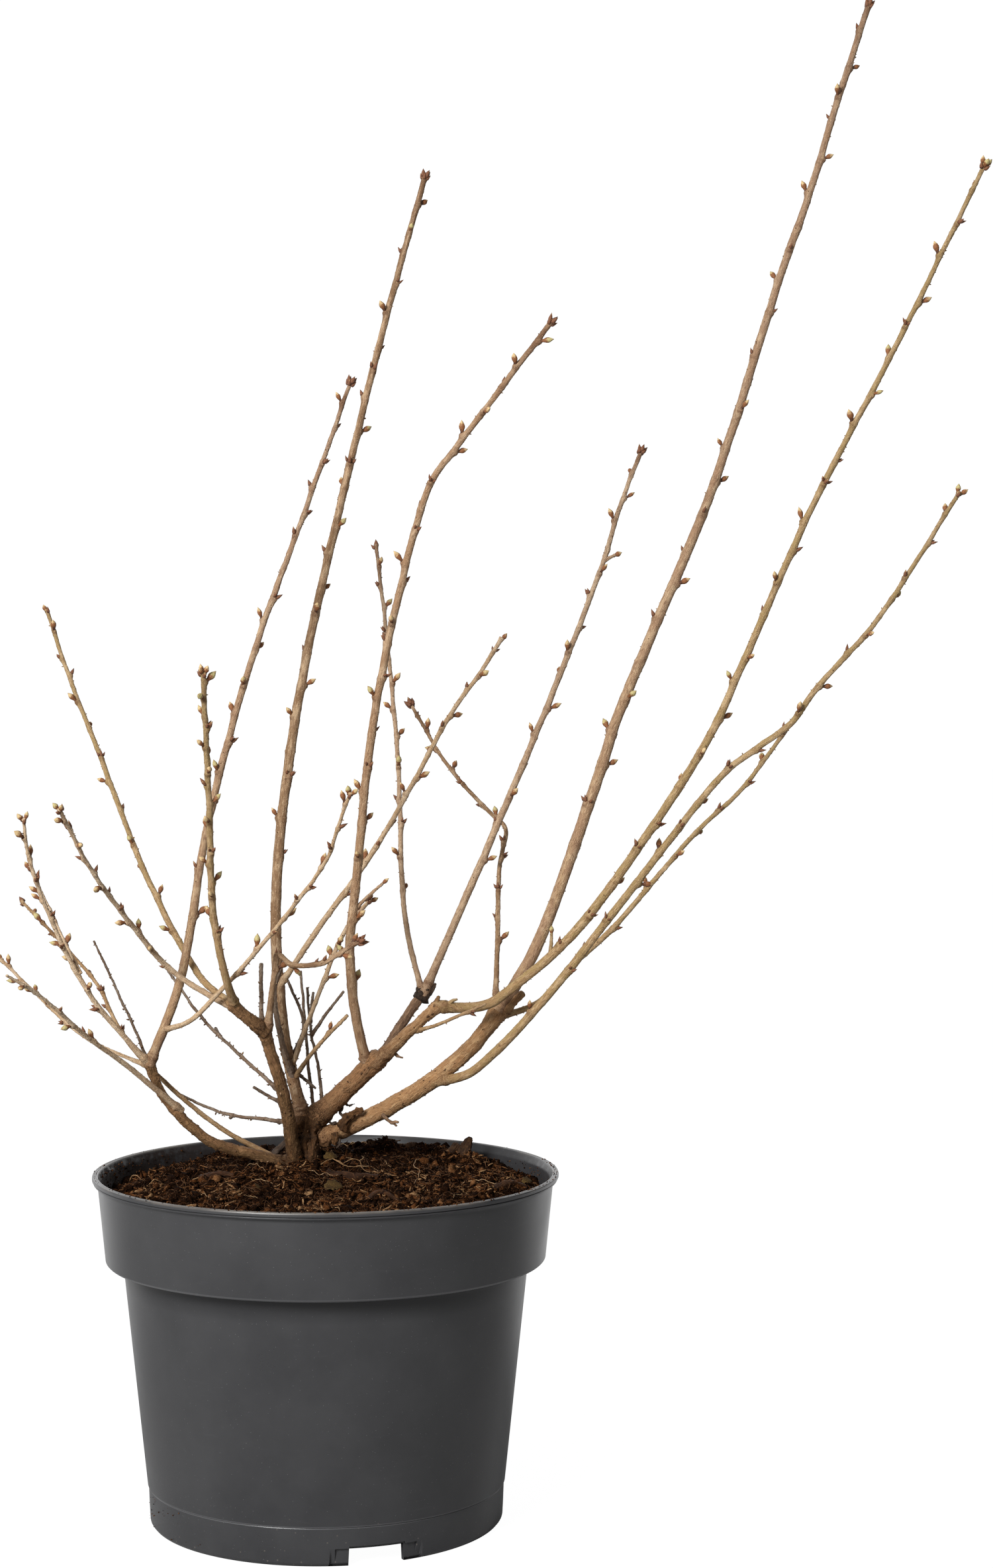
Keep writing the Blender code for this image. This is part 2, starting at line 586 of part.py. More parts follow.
def pot_outline():
    """From the middle of the floor up inside, over the rim, down the outer side and in under the foot."""
    lip = POT_HEIGHT - LIP_HEIGHT
    return (
        (0.0, FLOOR),
        (BODY_FOOT_RADIUS - WALL - FLOOR_CORNER, FLOOR),
        (BODY_FOOT_RADIUS - WALL + 0.2, FLOOR + 2.0),
        (BODY_TOP_RADIUS - WALL, INNER_LEDGE),
        (COLLAR_FOOT_RADIUS - WALL, INNER_LEDGE + 3.2),
        (RIM_RADIUS - RIM_WIDTH - 1.4, lip),
        (RIM_RADIUS - RIM_WIDTH, POT_HEIGHT - 0.4),
        (RIM_RADIUS - 1.0, POT_HEIGHT),
        (RIM_RADIUS, POT_HEIGHT - 1.0),
        (RIM_RADIUS, lip + 0.7),
        (COLLAR_TOP_RADIUS + 0.5, lip),
        (COLLAR_TOP_RADIUS, lip - 1.2),
        (COLLAR_FOOT_RADIUS, COLLAR_FOOT + 0.9),
        (COLLAR_FOOT_RADIUS - 0.9, COLLAR_FOOT),
        (BODY_TOP_RADIUS + 0.6, COLLAR_FOOT - 1.2),
        (BODY_TOP_RADIUS, COLLAR_FOOT - 3.4),
        (BODY_FOOT_RADIUS, FOOT_BAND),
        (BODY_FOOT_RADIUS - 0.5, FOOT_BAND - 0.7),
        (FOOT_RADIUS, 1.4),
        (FOOT_RADIUS - 1.2, 0.0),
        (FOOT_RADIUS - FOOT_RING_WIDTH, 0.0),
        (FOOT_RADIUS - FOOT_RING_WIDTH, FLOOR_UNDERSIDE),
        (PAD_RADIUS + 1.0, FLOOR_UNDERSIDE),
        (PAD_RADIUS, 0.0),
        (0.0, 0.0),
    )


def bent_block(name, heading, half_angles, radii, heights, group):
    """A block bent round the Z axis: half_angles at its foot and its top, its radii and its heights."""
    shape = bmesh.new()
    bmesh.ops.create_cube(shape, size=1.0)
    across = [edge for edge in shape.edges if abs(edge.verts[0].co.x - edge.verts[1].co.x) > 0.5]
    bmesh.ops.subdivide_edges(shape, edges=across, cuts=3, use_grid_fill=True)
    for corner in shape.verts:
        up = corner.co.z + 0.5
        half_angle = half_angles[0] + (half_angles[1] - half_angles[0]) * up
        angle = math.radians(heading + 2.0 * corner.co.x * half_angle)
        radius = radii[0] + (radii[1] - radii[0]) * (corner.co.y + 0.5)
        height = heights[0] + (heights[1] - heights[0]) * up
        corner.co = Vector((radius * math.sin(angle), -radius * math.cos(angle), height)) * MM
    bmesh.ops.recalc_face_normals(shape, faces=shape.faces)
    mesh = bpy.data.meshes.new(name)
    shape.to_mesh(mesh)
    shape.free()
    return make_helper(add_object(name, mesh, group))


def drain_hole(name, turn, group):
    shape = bmesh.new()
    bmesh.ops.create_cone(shape, cap_ends=True, segments=DRAIN_HOLE_SIDES, radius1=DRAIN_HOLE_RADIUS * MM,
                          radius2=DRAIN_HOLE_RADIUS * MM, depth=4.0 * (FLOOR - FLOOR_UNDERSIDE) * MM)
    place = Vector((math.cos(turn) * DRAIN_HOLE_CIRCLE, math.sin(turn) * DRAIN_HOLE_CIRCLE,
                    (FLOOR + FLOOR_UNDERSIDE) / 2)) * MM
    bmesh.ops.translate(shape, verts=shape.verts, vec=place)
    mesh = bpy.data.meshes.new(name)
    shape.to_mesh(mesh)
    shape.free()
    return make_helper(add_object(name, mesh, group))


def build_pot(parts):
    pot = turned("pot", pot_outline(), POT_STEPS, parts)
    cutters = new_collection("pot_cutters", helper=True)
    outside = FOOT_RADIUS + CUTTER_REACH
    ring_inside = FOOT_RADIUS - FOOT_RING_WIDTH
    for i, heading in enumerate(NOTCH_HEADINGS):
        bent_block(f"recess_{i}", heading, RECESS_HALF_ANGLES, (FOOT_RADIUS - RECESS_DEPTH, outside),
                   (-CUTTER_REACH, NOTCH_HEIGHT), cutters)
        bent_block(f"opening_{i}", heading, (OPENING_HALF_ANGLE, OPENING_HALF_ANGLE),
                   (ring_inside - 3.0, outside + 1.0),
                   (-CUTTER_REACH - 1.0, NOTCH_HEIGHT - OPENING_DROP), cutters)
    for i in range(DRAIN_HOLES):
        drain_hole(f"drain_{i}", 2.0 * math.pi * (i + 0.25) / DRAIN_HOLES, cutters)
    add_boolean(pot, "DIFFERENCE", cutters)
    apply_modifiers(pot)
    remove_collection(cutters)
    keep_largest_piece(pot.data)
    pot.data.shade_smooth()
    pot.data.set_sharp_from_angle(angle=POT_CREASE)
    give_finish(pot, "pot")


def soil_height(right, back):
    """Height of the soil: a level bed with a soft mound round the crown, a fall towards the wall on the left
    and right, and lumps."""
    away = math.hypot(right - MOUND_MIDDLE[0], back - MOUND_MIDDLE[1])
    mound = MOUND_HEIGHT * math.exp(-((away / MOUND_SPREAD) ** 2))
    from_middle = math.hypot(right, back)
    near_wall = max(0.0, from_middle / COLLAR_TOP_RADIUS - SIDE_DROP_START) / (1.0 - SIDE_DROP_START)
    fall = SIDE_DROP * near_wall * abs(right) / max(from_middle, 1.0)
    lump = noise.noise(Vector((right, back, SOIL_LUMP_LAYER)) / SOIL_LUMP_SIZE)
    return SOIL_LEVEL + mound - fall + SOIL_LUMPS * lump


def build_soil(crown_limbs, parts):
    """Peat that fills the pot, with a seat for the crown and for the stems that leave it at ground level."""
    inner_foot = BODY_FOOT_RADIUS - WALL - FLOOR_CORNER - GAP
    top_radius = COLLAR_TOP_RADIUS - WALL - 3.0 * SOIL_CLEAR
    outline = [(0.0, SOIL_LEVEL)]
    outline += [(radius * top_radius, SOIL_LEVEL) for radius in SOIL_RINGS[::-1]]
    outline += [
        (top_radius, SOIL_LEVEL - SOIL_EDGE_DROP),
        (COLLAR_FOOT_RADIUS - WALL - SOIL_CLEAR, INNER_LEDGE + 4.0),
        (BODY_TOP_RADIUS - WALL - SOIL_CLEAR, INNER_LEDGE + 0.6),
        (inner_foot, FLOOR + 2.4),
        (inner_foot - 1.2, FLOOR + GAP),
        (0.0, FLOOR + GAP),
    ]
    soil = turned("soil", outline, SOIL_STEPS, parts)
    edge_height = SOIL_LEVEL - SOIL_EDGE_DROP
    for corner in soil.data.vertices:
        x, y, z = corner.co / MM
        if z > edge_height - GAP:
            corner.co.z = (soil_height(x, y) + z - SOIL_LEVEL) * MM
    cutters = new_collection("soil_cutters", helper=True)
    for limb in crown_limbs:
        make_helper(limb_tube(limb, cutters, GAP, "seat_" + limb.name))
    add_boolean(soil, "DIFFERENCE", cutters, "MANIFOLD")
    apply_modifiers(soil)
    remove_collection(cutters)
    keep_largest_piece(soil.data)
    soil.data.shade_smooth()
    give_finish(soil, "soil")


def main():
    clear_scene()
    parts = new_collection("potted_flowering_cherry")
    limbs = BOUGHS + SHOOTS + DEAD_TWIGS
    by_name = {limb.name: limb for limb in limbs}
    build_pot(parts)
    build_soil([by_name[name] for name in LIMBS_IN_SOIL], parts)
    for limb in limbs:
        build_limb(limb, by_name, parts)


main()
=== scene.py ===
"""A flowering cherry shrub in winter, in a dark grey nursery pot of peat: the finished surfaces.

Every surface is a grid of points worked out with numpy from the same named sizes as the solids. Sizes are in
millimetres, right of, behind and above the middle of the pot's underside, and become metres in the mesh.
"""

import math
from typing import NamedTuple

import bpy
import numpy as np
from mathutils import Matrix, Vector


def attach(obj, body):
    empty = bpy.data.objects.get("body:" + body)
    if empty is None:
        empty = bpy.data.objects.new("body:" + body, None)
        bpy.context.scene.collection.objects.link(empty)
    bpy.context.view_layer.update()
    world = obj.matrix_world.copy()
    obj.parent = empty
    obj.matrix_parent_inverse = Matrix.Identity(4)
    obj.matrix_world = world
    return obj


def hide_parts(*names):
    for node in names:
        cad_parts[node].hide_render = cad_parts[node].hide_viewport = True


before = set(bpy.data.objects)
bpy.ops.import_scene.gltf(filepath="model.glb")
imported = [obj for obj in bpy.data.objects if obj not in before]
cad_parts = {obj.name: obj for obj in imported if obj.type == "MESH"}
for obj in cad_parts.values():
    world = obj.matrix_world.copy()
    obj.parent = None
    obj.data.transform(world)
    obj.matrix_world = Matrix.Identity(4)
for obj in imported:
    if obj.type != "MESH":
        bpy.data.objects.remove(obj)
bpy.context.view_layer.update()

MM = 0.001
FULL_TURN = 2.0 * math.pi

# Camera
PHOTO_WIDTH = 1500
PHOTO_HEIGHT = 2368
FOCAL_PIXELS = 4565.0
SENSOR = 36.0
CAMERA_PLACE = (0.0824, -1.454, 0.4163)
CAMERA_DOWN = 2.388

# Pot
POT_HEIGHT = 168.2
RIM_RADIUS = 112.5
RIM_WIDTH = 3.0
LIP_HEIGHT = 3.4
COLLAR_TOP_RADIUS = 109.8
COLLAR_FOOT_RADIUS = 106.2
COLLAR_FOOT = 126.5
INNER_LEDGE = 125.6
BODY_TOP_RADIUS = 97.4
BODY_FOOT_RADIUS = 86.5
FOOT_BAND = 18.5
FOOT_RADIUS = 85.3
WALL = 1.7
FLOOR_UNDERSIDE = 9.5
FLOOR = 11.5
FOOT_RING_WIDTH = 3.8
PAD_RADIUS = 22.0
POT_TURN_STEP = 1.2

# Foot notches and drain holes
NOTCH_HEIGHT = 8.3
NOTCH_HEADINGS = (19.0, 139.0, 259.0)
RECESS_HALF_ANGLES = (15.4, 13.2)
RECESS_DEPTH = 1.4
OPENING_HALF_ANGLE = 9.0
OPENING_DROP = 0.4
NOTCH_EDGE = 0.25
DRAIN_HOLES = 5
DRAIN_HOLE_RADIUS = 4.5
DRAIN_HOLE_CIRCLE = 54.0

# Soil
SOIL_LEVEL = 160.5
MOUND_HEIGHT = 8.5
MOUND_SPREAD = 46.0
MOUND_MIDDLE = (-8.0, 22.0)
SIDE_DROP = 4.5
SIDE_DROP_START = 0.74
BACK_CLUMPS = ((17.0, 90.0, 15.0, 4.0), (26.0, 62.0, 14.0, 8.0), (52.0, 66.0, 15.0, 6.5),
               (74.0, 58.0, 12.0, 4.5), (-45.0, 80.0, 22.0, 3.5))
SHADE_PATCH = 15.0
SOIL_RADIUS = 106.2
SOIL_RINGS = 165
SOIL_TURNS = 540

# What lies on the peat and clings to the pot: counts, turns from the pot's right in degrees with their
# spread, heights from and to, and largest sizes
CRUMBS = (("fine_crumbs", 5000, 0.3, 1.1), ("coarse_crumbs", 1300, 0.8, 2.5))
SHREDS = 5200
CHIPS = 170
CROWN_CRUMBS = 700
WALL_CRUMBS = ((150, 160.0, 16.0, 156.0, 167.0, 0.7), (60, 20.0, 14.0, 156.0, 165.0, 0.5),
               (80, 90.0, 45.0, 159.0, 165.0, 0.5))
RIM_CRUMBS = ((70, 270.0, 45.0), (45, 350.0, 18.0), (20, 180.0, 20.0))
FOOT_CRUMBS = (30, 205.0, 14.0)

# Colours of the peat, each with a darker and a lighter one, and of the pot
PEAT_COLOURS = (
    ((0.010, 0.0036, 0.0014), (0.003, 0.0012, 0.0006), (0.045, 0.018, 0.007)),
    ((0.072, 0.026, 0.008), (0.016, 0.0055, 0.002), (0.17, 0.072, 0.028)),
    ((0.15, 0.064, 0.024), (0.050, 0.020, 0.007), (0.27, 0.145, 0.068)),
    ((0.28, 0.155, 0.070), (0.12, 0.060, 0.026), (0.44, 0.28, 0.15)),
)
POT_COLOURS = ((0.030, 0.030, 0.032), (0.042, 0.042, 0.044))

# Colours of the buds: neck, scales, top and the other kind of top
PLUMP_BUD_COLOURS = ((0.085, 0.036, 0.020), (0.24, 0.095, 0.036), (0.62, 0.45, 0.23), (0.50, 0.42, 0.19))
POINTED_BUD_COLOURS = ((0.10, 0.042, 0.024), (0.19, 0.080, 0.040), (0.27, 0.125, 0.062), (0.44, 0.28, 0.13))

# Stage: the floor's grey and how much of it glows to the camera, the sky's strength at the horizon and
# above, and the lamps' places, sizes and powers
FLOOR_SIZE = 20.0
FLOOR_HEIGHT = -0.0002
FLOOR_GREY = 0.4
FLOOR_GLOW = 0.85
SKY_FRONT_BACK = (0.38, 1.7)
SKY_LOW_HIGH = (0.7, 1.0)
SKY_LEFT_RIGHT = (1.08, 0.35)
LAMPS = (("left_softbox", (-1.05, -1.85, 1.3), 0.9, 72.0), ("right_softbox", (1.6, -1.0, 1.0), 0.7, 1.5))

# Limbs and the rule for their buds, as for the solids
CURVE_FINENESS = 24
FOOT_FLARE = 0.35
FLARE_LENGTH = 6.0
FLARE_THICK = 4.0
FOOT_END = 0.35
TIP_END = 0.45
GOLDEN_TURN = 137.5
TURN_PLAY = 15.0
SPACING_PLAY = 0.22
CROWDING = 0.9
LAST_BUD = 0.985
BUD_SIZES = (0.85, 1.12)
SMALL_BUD_SHARE = 0.5
TIP_BUD_LEAN = 24.0
LONE_TIP_BUD_LEAN = 5.0
TIP_BUD_DEPTH = 1.4
SPUR_LEAN = 42.0
SPUR_THICK = (1.7, 1.3)
SPUR_BUD_DEPTH = 1.2

# Finer growth: buds seen from close by, knobs and the bark's wear
PLUMP_BUD = (6.4, 2.9)
TIP_BUD = (5.0, 2.5)
POINTED_BUD = (4.2, 2.0)
POINTED_TIP_BUD = (4.6, 2.7)
BUD_SEAT = 0.85
PLUMP_LEAN = 46.0
POINTED_LEAN = 40.0
NODE_LENGTH = 2.4
NODE_SWAY = 0.2
WEAR_LENGTH = 7.0
FOOT_SHADE_LENGTH = 35.0
TIP_SHADE_LENGTH = 22.0
FOOT_SHADE = 0.085
LOW_DARK_HEIGHTS = (198.0, 176.0)
LOW_DARK_SPREAD = 20.0
CRACK_WIDTH = 0.16
RIDGE_STRETCH = (1.0, 1.0, 0.10)
FLAKE_STRETCH = (1.0, 1.0, 0.45)


class Limb(NamedTuple):
    """A limb from foot to tip: its node, thickness at foot and tip, way, bark, and what grows on it."""

    name: str
    thick: tuple
    way: tuple
    bark: str
    buds: int = 0
    first: float = 0.2
    turn: float = 0.0
    spurs: tuple = ()
    tip_buds: int = 0


LIMBS = (
    Limb("root_crown", (16.5, 15.0), ((-13, 25, 166), (-12, 25, 176), (-11, 27, 188)), "crown"),
    Limb("front_bough", (7.0, 5.3),
         ((-16, 19, 168), (-17, 13, 178), (-21, 2, 206), (-29, -12, 238)), "bough"),
    Limb("front_arm", (5.9, 5.1), ((-28, -12, 237), (-36, -15, 244), (-44, -18, 251)), "arm_bough"),
    Limb("left_bough", (5.8, 4.3),
         ((-16, 21, 167), (-42, 16, 175), (-58, 13, 181), (-80, 8, 204), (-86, 5, 220)), "bough"),
    Limb("middle_bough", (10.7, 8.6), ((-12, 27, 185), (6, 24, 202), (25, 18, 221)), "ruddy_bough"),
    Limb("tan_branch", (6.2, 5.0), ((23, 17, 218), (40, 9, 235), (54, 2, 248)), "tan_bough"),
    Limb("dark_branch", (5.0, 4.4), ((25, 20, 218), (36, 25, 237), (47, 30, 252)), "dark_bough"),
    Limb("right_bough", (8.8, 7.6),
         ((-10, 26, 178), (17, 25, 189), (48, 23, 207), (73, 21, 229), (83, 20, 243)), "pale_bough"),
    Limb("far_left_shoot", (2.8, 1.5),
         ((-86, 5, 219), (-114, -16, 259), (-135, -45, 319), (-137, -55, 342)),
         "pale_straw", buds=9, turn=200, tip_buds=2),
    Limb("far_left_side_shoot", (1.9, 1.5),
         ((-116, -19, 266), (-123, -16, 279), (-142, -5, 316)), "pale_straw", buds=5, turn=160, tip_buds=1),
    Limb("far_left_back_shoot", (2.6, 1.3),
         ((-22, 31, 167), (-57, 24, 188), (-98, 16, 229), (-114, 33, 254), (-132, 47, 272), (-157, 65, 294)),
         "tan", buds=9, first=0.5, turn=20, tip_buds=1),
    Limb("low_left_branch", (3.1, 1.2),
         ((-71, 10, 196), (-97, -13, 223), (-109, -29, 235), (-131, -62, 262), (-142, -75, 271)),
         "sandy", buds=5, first=0.45, turn=90),
    Limb("low_left_twig", (1.9, 1.5),
         ((-86, 6, 218), (-118, 15, 231), (-146, 24, 254), (-162, 30, 268)),
         "straw", buds=6, first=0.35, tip_buds=1),
    Limb("left_tall_shoot", (4.7, 1.9),
         ((-86, 5, 219), (-71, 6, 260), (-57, 8, 338), (-36, 11, 416), (-9, 13, 491), (12, 15, 550)),
         "purple", buds=18, turn=30, tip_buds=3),
    Limb("thin_diagonal_shoot", (2.5, 1.5),
         ((-79, 5, 236), (-64, -12, 243), (-49, -20, 258), (-20, -41, 291), (5, -63, 325), (9, -70, 337),
          (16, -79, 355)),
         "straw", buds=10, first=0.3, tip_buds=2),
    Limb("lower_left_shoot", (3.0, 1.7),
         ((-37, -15, 245), (-73, -8, 266), (-92, -30, 293), (-106, -56, 319), (-116, -85, 348)),
         "sandy", buds=12, first=0.25, turn=150, tip_buds=2),
    Limb("left_middle_shoot", (3.4, 1.9),
         ((-42, -17, 250), (-58, 2, 259), (-69, 19, 271), (-91, 41, 308), (-118, 72, 367), (-136, 93, 406),
          (-150, 110, 441)),
         "green", buds=12, first=0.2, turn=200, tip_buds=1),
    Limb("budded_upright_shoot", (3.9, 2.2),
         ((-42, -17, 250), (-45, -30, 263), (-50, -43, 295), (-50, -63, 348), (-50, -90, 410)),
         "green", buds=17, first=0.22, tip_buds=3),
    Limb("curved_front_shoot", (3.1, 1.9),
         ((-27, -12, 238), (-24, -19, 262), (-21, -22, 275), (-15, -24, 271), (1, -27, 272), (8, -29, 277),
          (19, -32, 283)),
         "golden", buds=7, first=0.3, tip_buds=2),
    Limb("centre_tall_shoot", (5.9, 2.7),
         ((-13, 28, 187), (-17, 27, 206), (-22, 27, 230), (-26, 27, 295), (-16, 36, 391), (9, 46, 508),
          (28, 53, 586), (47, 60, 656)),
         "golden", buds=22, first=0.25, turn=40, tip_buds=3),
    Limb("long_diagonal_shoot", (2.9, 2.0),
         ((-25, 26, 254), (-2, 20, 288), (21, 19, 320), (41, 24, 354), (60, 29, 389), (73, 32, 407),
          (85, 35, 426)),
         "straw", buds=12, first=0.25, tip_buds=1),
    Limb("tan_green_shoot", (2.3, 1.9),
         ((-18, 26, 216), (-8, 12, 243), (9, 13, 284), (21, 13, 299)),
         "straw", buds=5, first=0.45, tip_buds=3),
    Limb("slanting_twig", (2.2, 1.7),
         ((-17, 26, 210), (-5, 10, 227), (10, 7, 243)), "tan", buds=1, first=0.5, turn=130),
    Limb("kinked_centre_shoot", (5.0, 2.4),
         ((20, 21, 212), (15, 12, 236), (12, 5, 260), (12, 0, 284), (15, -4, 309), (23, -17, 380),
          (37, -31, 448), (52, -41, 498), (63, -45, 513), (77, -50, 531), (108, -60, 571)),
         "brown", buds=24, first=0.1, turn=60, spurs=((0.22, 20, 10),), tip_buds=2),
    Limb("thin_centre_shoot", (2.8, 1.7),
         ((46, 30, 250), (37, 41, 288), (33, 61, 365), (25, 82, 442), (21, 90, 474)),
         "grey_brown", buds=13, turn=80, tip_buds=1),
    Limb("right_middle_shoot", (4.1, 2.1),
         ((46, 29, 250), (79, 37, 325), (109, 61, 395), (137, 86, 466), (146, 96, 495), (157, 105, 523)),
         "grey_brown", buds=15, turn=10, spurs=((0.79, 7, 0),), tip_buds=3),
    Limb("right_tall_shoot", (5.0, 1.9),
         ((53, 3, 248), (67, 4, 247), (79, 5, 249), (93, 5, 259), (119, -2, 283), (163, -22, 346),
          (183, -32, 380), (198, -42, 415), (228, -63, 487), (262, -85, 556), (278, -96, 590),
          (298, -110, 634)),
         "green", buds=24, first=0.12, turn=150, spurs=((0.13, 12, 160),), tip_buds=3),
    Limb("crossing_shoot", (2.6, 1.6),
         ((82, 5, 251), (83, 24, 282), (84, 44, 314), (87, 53, 331), (80, 58, 338), (59, 77, 360),
          (38, 100, 393)),
         "golden", buds=12, first=0.12, tip_buds=3),
    Limb("tallest_shoot", (6.2, 3.0),
         ((81, 20, 240), (92, 22, 257), (103, 25, 277), (130, 36, 350), (143, 41, 389), (158, 46, 425),
          (189, 57, 498), (226, 72, 611), (240, 77, 650), (251, 82, 686), (271, 90, 747)),
         "purple", buds=25, first=0.14, turn=100, tip_buds=3),
    Limb("outer_right_shoot", (4.6, 1.9),
         ((50, 22, 208), (68, 16, 213), (82, 10, 225), (107, 2, 253), (155, -11, 316), (190, -20, 361),
          (206, -24, 374), (221, -28, 385), (233, -31, 402), (259, -37, 432), (297, -50, 493)),
         "green", buds=19, first=0.15, turn=170, tip_buds=2),
    Limb("outer_side_shoot", (3.1, 1.9),
         ((82, 21, 240), (103, 27, 247), (119, 31, 264), (140, 36, 283), (183, 48, 331), (203, 53, 349),
          (235, 62, 390)),
         "green", buds=8, first=0.3, turn=20, tip_buds=1),
    Limb("dead_left_twig", (1.5, 1.0), ((-85, 7, 216), (-95, 13, 238), (-116, 30, 277)), "dead"),
    Limb("dark_low_twig", (1.9, 1.2),
         ((-20, 7, 191), (-53, 24, 193), (-78, 35, 202)), "dead", spurs=((0.45, 3, 100),)),
    Limb("dead_long_twig", (1.9, 1.2),
         ((-23, 1, 207), (-63, 28, 240), (-83, 45, 264)), "dead", spurs=((0.46, 12, 60),)),
    Limb("stub_twig", (1.6, 1.3), ((-22, 3, 201), (-28, 4, 204), (-35, 0, 209)), "dead"),
    Limb("broken_dark_twig", (3.2, 2.3),
         ((-17, 27, 207), (-23, 16, 232), (-26, 13, 253), (-23, 12, 265)), "dead"),
    Limb("cut_twig", (2.0, 1.9), ((-30, -12, 240), (-31, -2, 269)), "dead"),
    Limb("bent_dead_twig", (1.6, 1.3), ((-19, 27, 219), (-13, 35, 235), (-23, 42, 260)), "dead"),
    Limb("back_dead_twig", (1.7, 1.3), ((-7, 31, 186), (-11, 42, 213), (-16, 60, 259)), "dead"),
    Limb("forked_dead_twig", (1.6, 1.3),
         ((-3, 27, 195), (-7, 41, 217), (-10, 44, 230), (-12, 48, 252)),
         "dead", spurs=((0.62, 27, -5), (0.72, 22, 80))),
    Limb("cross_twig", (1.4, 1.2), ((-17, 27, 213), (-7, 31, 204)), "dead"),
    Limb("tan_side_twig", (1.8, 1.4),
         ((43, 8, 235), (55, -3, 240), (67, -9, 246), (77, -7, 250)), "tan", buds=1, first=0.6),
    # The cut stub takes the pale bough bark, lighter than its own: painted light, as the stub lies in shadow.
    Limb("cut_stub", (3.2, 3.0), ((84.5, 20, 240.5), (95, 14, 253)), "pale_bough"),
)

# Small pieces of wood that only show from close by: spurs, torn bark and black wisps at the crown
SMALL_WOOD = (
    Limb("forked_spur", (1.7, 0.8), ((26.5, 21, 192.5), (30.5, 19, 189.2), (34.4, 18, 189.3)), "dark_bough"),
    Limb("forked_spur_side", (1.1, 0.6), ((30.3, 19, 189.3), (33.6, 18.5, 187.3)), "dark_bough"),
    Limb("bark_roll", (5.2, 1.3),
         ((6.4, 20.5, 186.6), (9.0, 19, 190.0), (12.6, 19, 193.2), (17.0, 19, 195.0)), "crown"),
    Limb("bark_tag", (2.4, 0.9), ((2.6, 18, 183.5), (3.4, 17, 180.6), (2.4, 17, 178.4)), "crown"),
    Limb("old_root", (4.4, 3.2), ((-31.5, 30, 166), (-25, 30, 173.5), (-17, 29, 180.5)), "black"),
    Limb("crown_knob", (7.5, 5.5), ((-9, 20, 168), (-8.5, 19.5, 175), (-8, 22, 183)), "crown"),
    Limb("hanging_wisp", (0.9, 0.5), ((5.2, 26, 199.5), (6.6, 25, 195.6), (5.4, 25, 192.8), (7.2, 25, 190.9)),
         "black"),
    Limb("bent_wisp", (0.9, 0.5), ((8.0, 26, 198.4), (9.2, 25, 196.4), (12.6, 25, 197.2)), "black"),
    Limb("crown_wisp", (1.2, 0.6), ((-1.0, 24, 190.6), (1.2, 23, 188.0), (3.6, 22, 188.4)), "black"),
    Limb("low_wisp", (1.2, 0.6), ((4.8, 19, 180.6), (5.4, 17, 178.2), (4.2, 16.5, 176.6)), "black"),
    Limb("under_spur", (1.4, 0.7), ((31.0, 15, 224.5), (34.0, 14, 222.4), (36.6, 14, 221.2)), "dark_bough"),
    Limb("tan_snag", (2.8, 1.1), ((51, 4, 247), (53.4, 2.5, 250.6), (54.6, 2, 252.8)), "bough"),
    Limb("green_snag", (2.2, 0.9), ((58, 3, 247.5), (60.8, 2, 250.4), (63.4, 2, 251.4)), "green"),
    Limb("torn_collar", (6.7, 5.4), ((44.9, 29.2, 248.4), (46.3, 29.8, 250.8), (47.7, 30.2, 253.2)), "black"),
    Limb("dark_snag", (2.6, 1.0), ((45, 29, 249), (43.6, 29, 252.2), (43.2, 29, 254.2)), "black"),
    Limb("split_snag", (2.2, 0.9), ((49, 30, 251), (51.2, 29, 253.8), (52.2, 29, 256.2)), "black"),
    Limb("fork_scale", (2.4, 0.9), ((-31, -12, 240), (-34.2, -13, 242.6), (-35.0, -13, 245.0)), "crown"),
)

# Loose pieces on the peat; heights are above the peat there
LOOSE_PIECES = (
    Limb("red_bark", (4.4, 2.8), ((1, -7, 1.0), (13, -10, 1.6), (25, -8, 0.8)), "red"),
    Limb("orange_bark", (2.7, 1.5), ((82, -12, 0.8), (89, -8, 1.4), (97, -3, 1.6)), "red"),
    Limb("standing_chunk", (6.5, 2.2), ((66, 60, -2.0), (67.5, 59.5, 3.0), (69.0, 59, 7.8)), "clod"),
    Limb("leaning_chunk", (5.5, 3.0), ((34, 78, -1.0), (39, 77, 2.6), (43, 76, 3.2)), "clod"),
    Limb("chunk_shoulder", (5.5, 3.0), ((61, 62, -1.0), (63.5, 61, 3.0)), "clod"),
    Limb("left_bark", (3.6, 1.8), ((-60, 2, 0.6), (-52, -4, 1.5), (-44, -6, 0.8)), "red"),
    Limb("front_bark", (3.0, 1.6), ((22, -50, 0.8), (29, -46, 1.6), (38, -47, 0.8)), "red"),
    Limb("curly_root", (0.5, 0.25), ((-3, 6, 1.0), (2, 11, 2.6), (8, 7, 2.0), (14, 9, 2.6), (19, 3, 1.8),
                                     (26, 0, 0.8)), "root"),
    Limb("curly_root_side", (0.38, 0.22), ((3, 10, 2.2), (10, 4, 3.0), (18, 6, 1.6)), "root"),
    Limb("near_root", (0.5, 0.3), ((44, 48, 0.6), (42, 22, 2.4), (45, 2, 1.6), (43, -18, 0.8)), "root"),
    Limb("left_root", (0.7, 0.35), ((-66, 8, 0.6), (-60, 2, 2.2), (-53, 5, 1.0)), "root"),
    Limb("wall_strand", (0.7, 0.4), ((-98, 18, 0.5), (-94, 12, 5.0), (-90, 8, 1.0)), "root"),
    Limb("hooked_root", (0.6, 0.3),
         ((-88, -8, 0.6), (-82, -12, 3.0), (-78, -6, 1.6), (-80, -2, 0.6)), "root"),
)


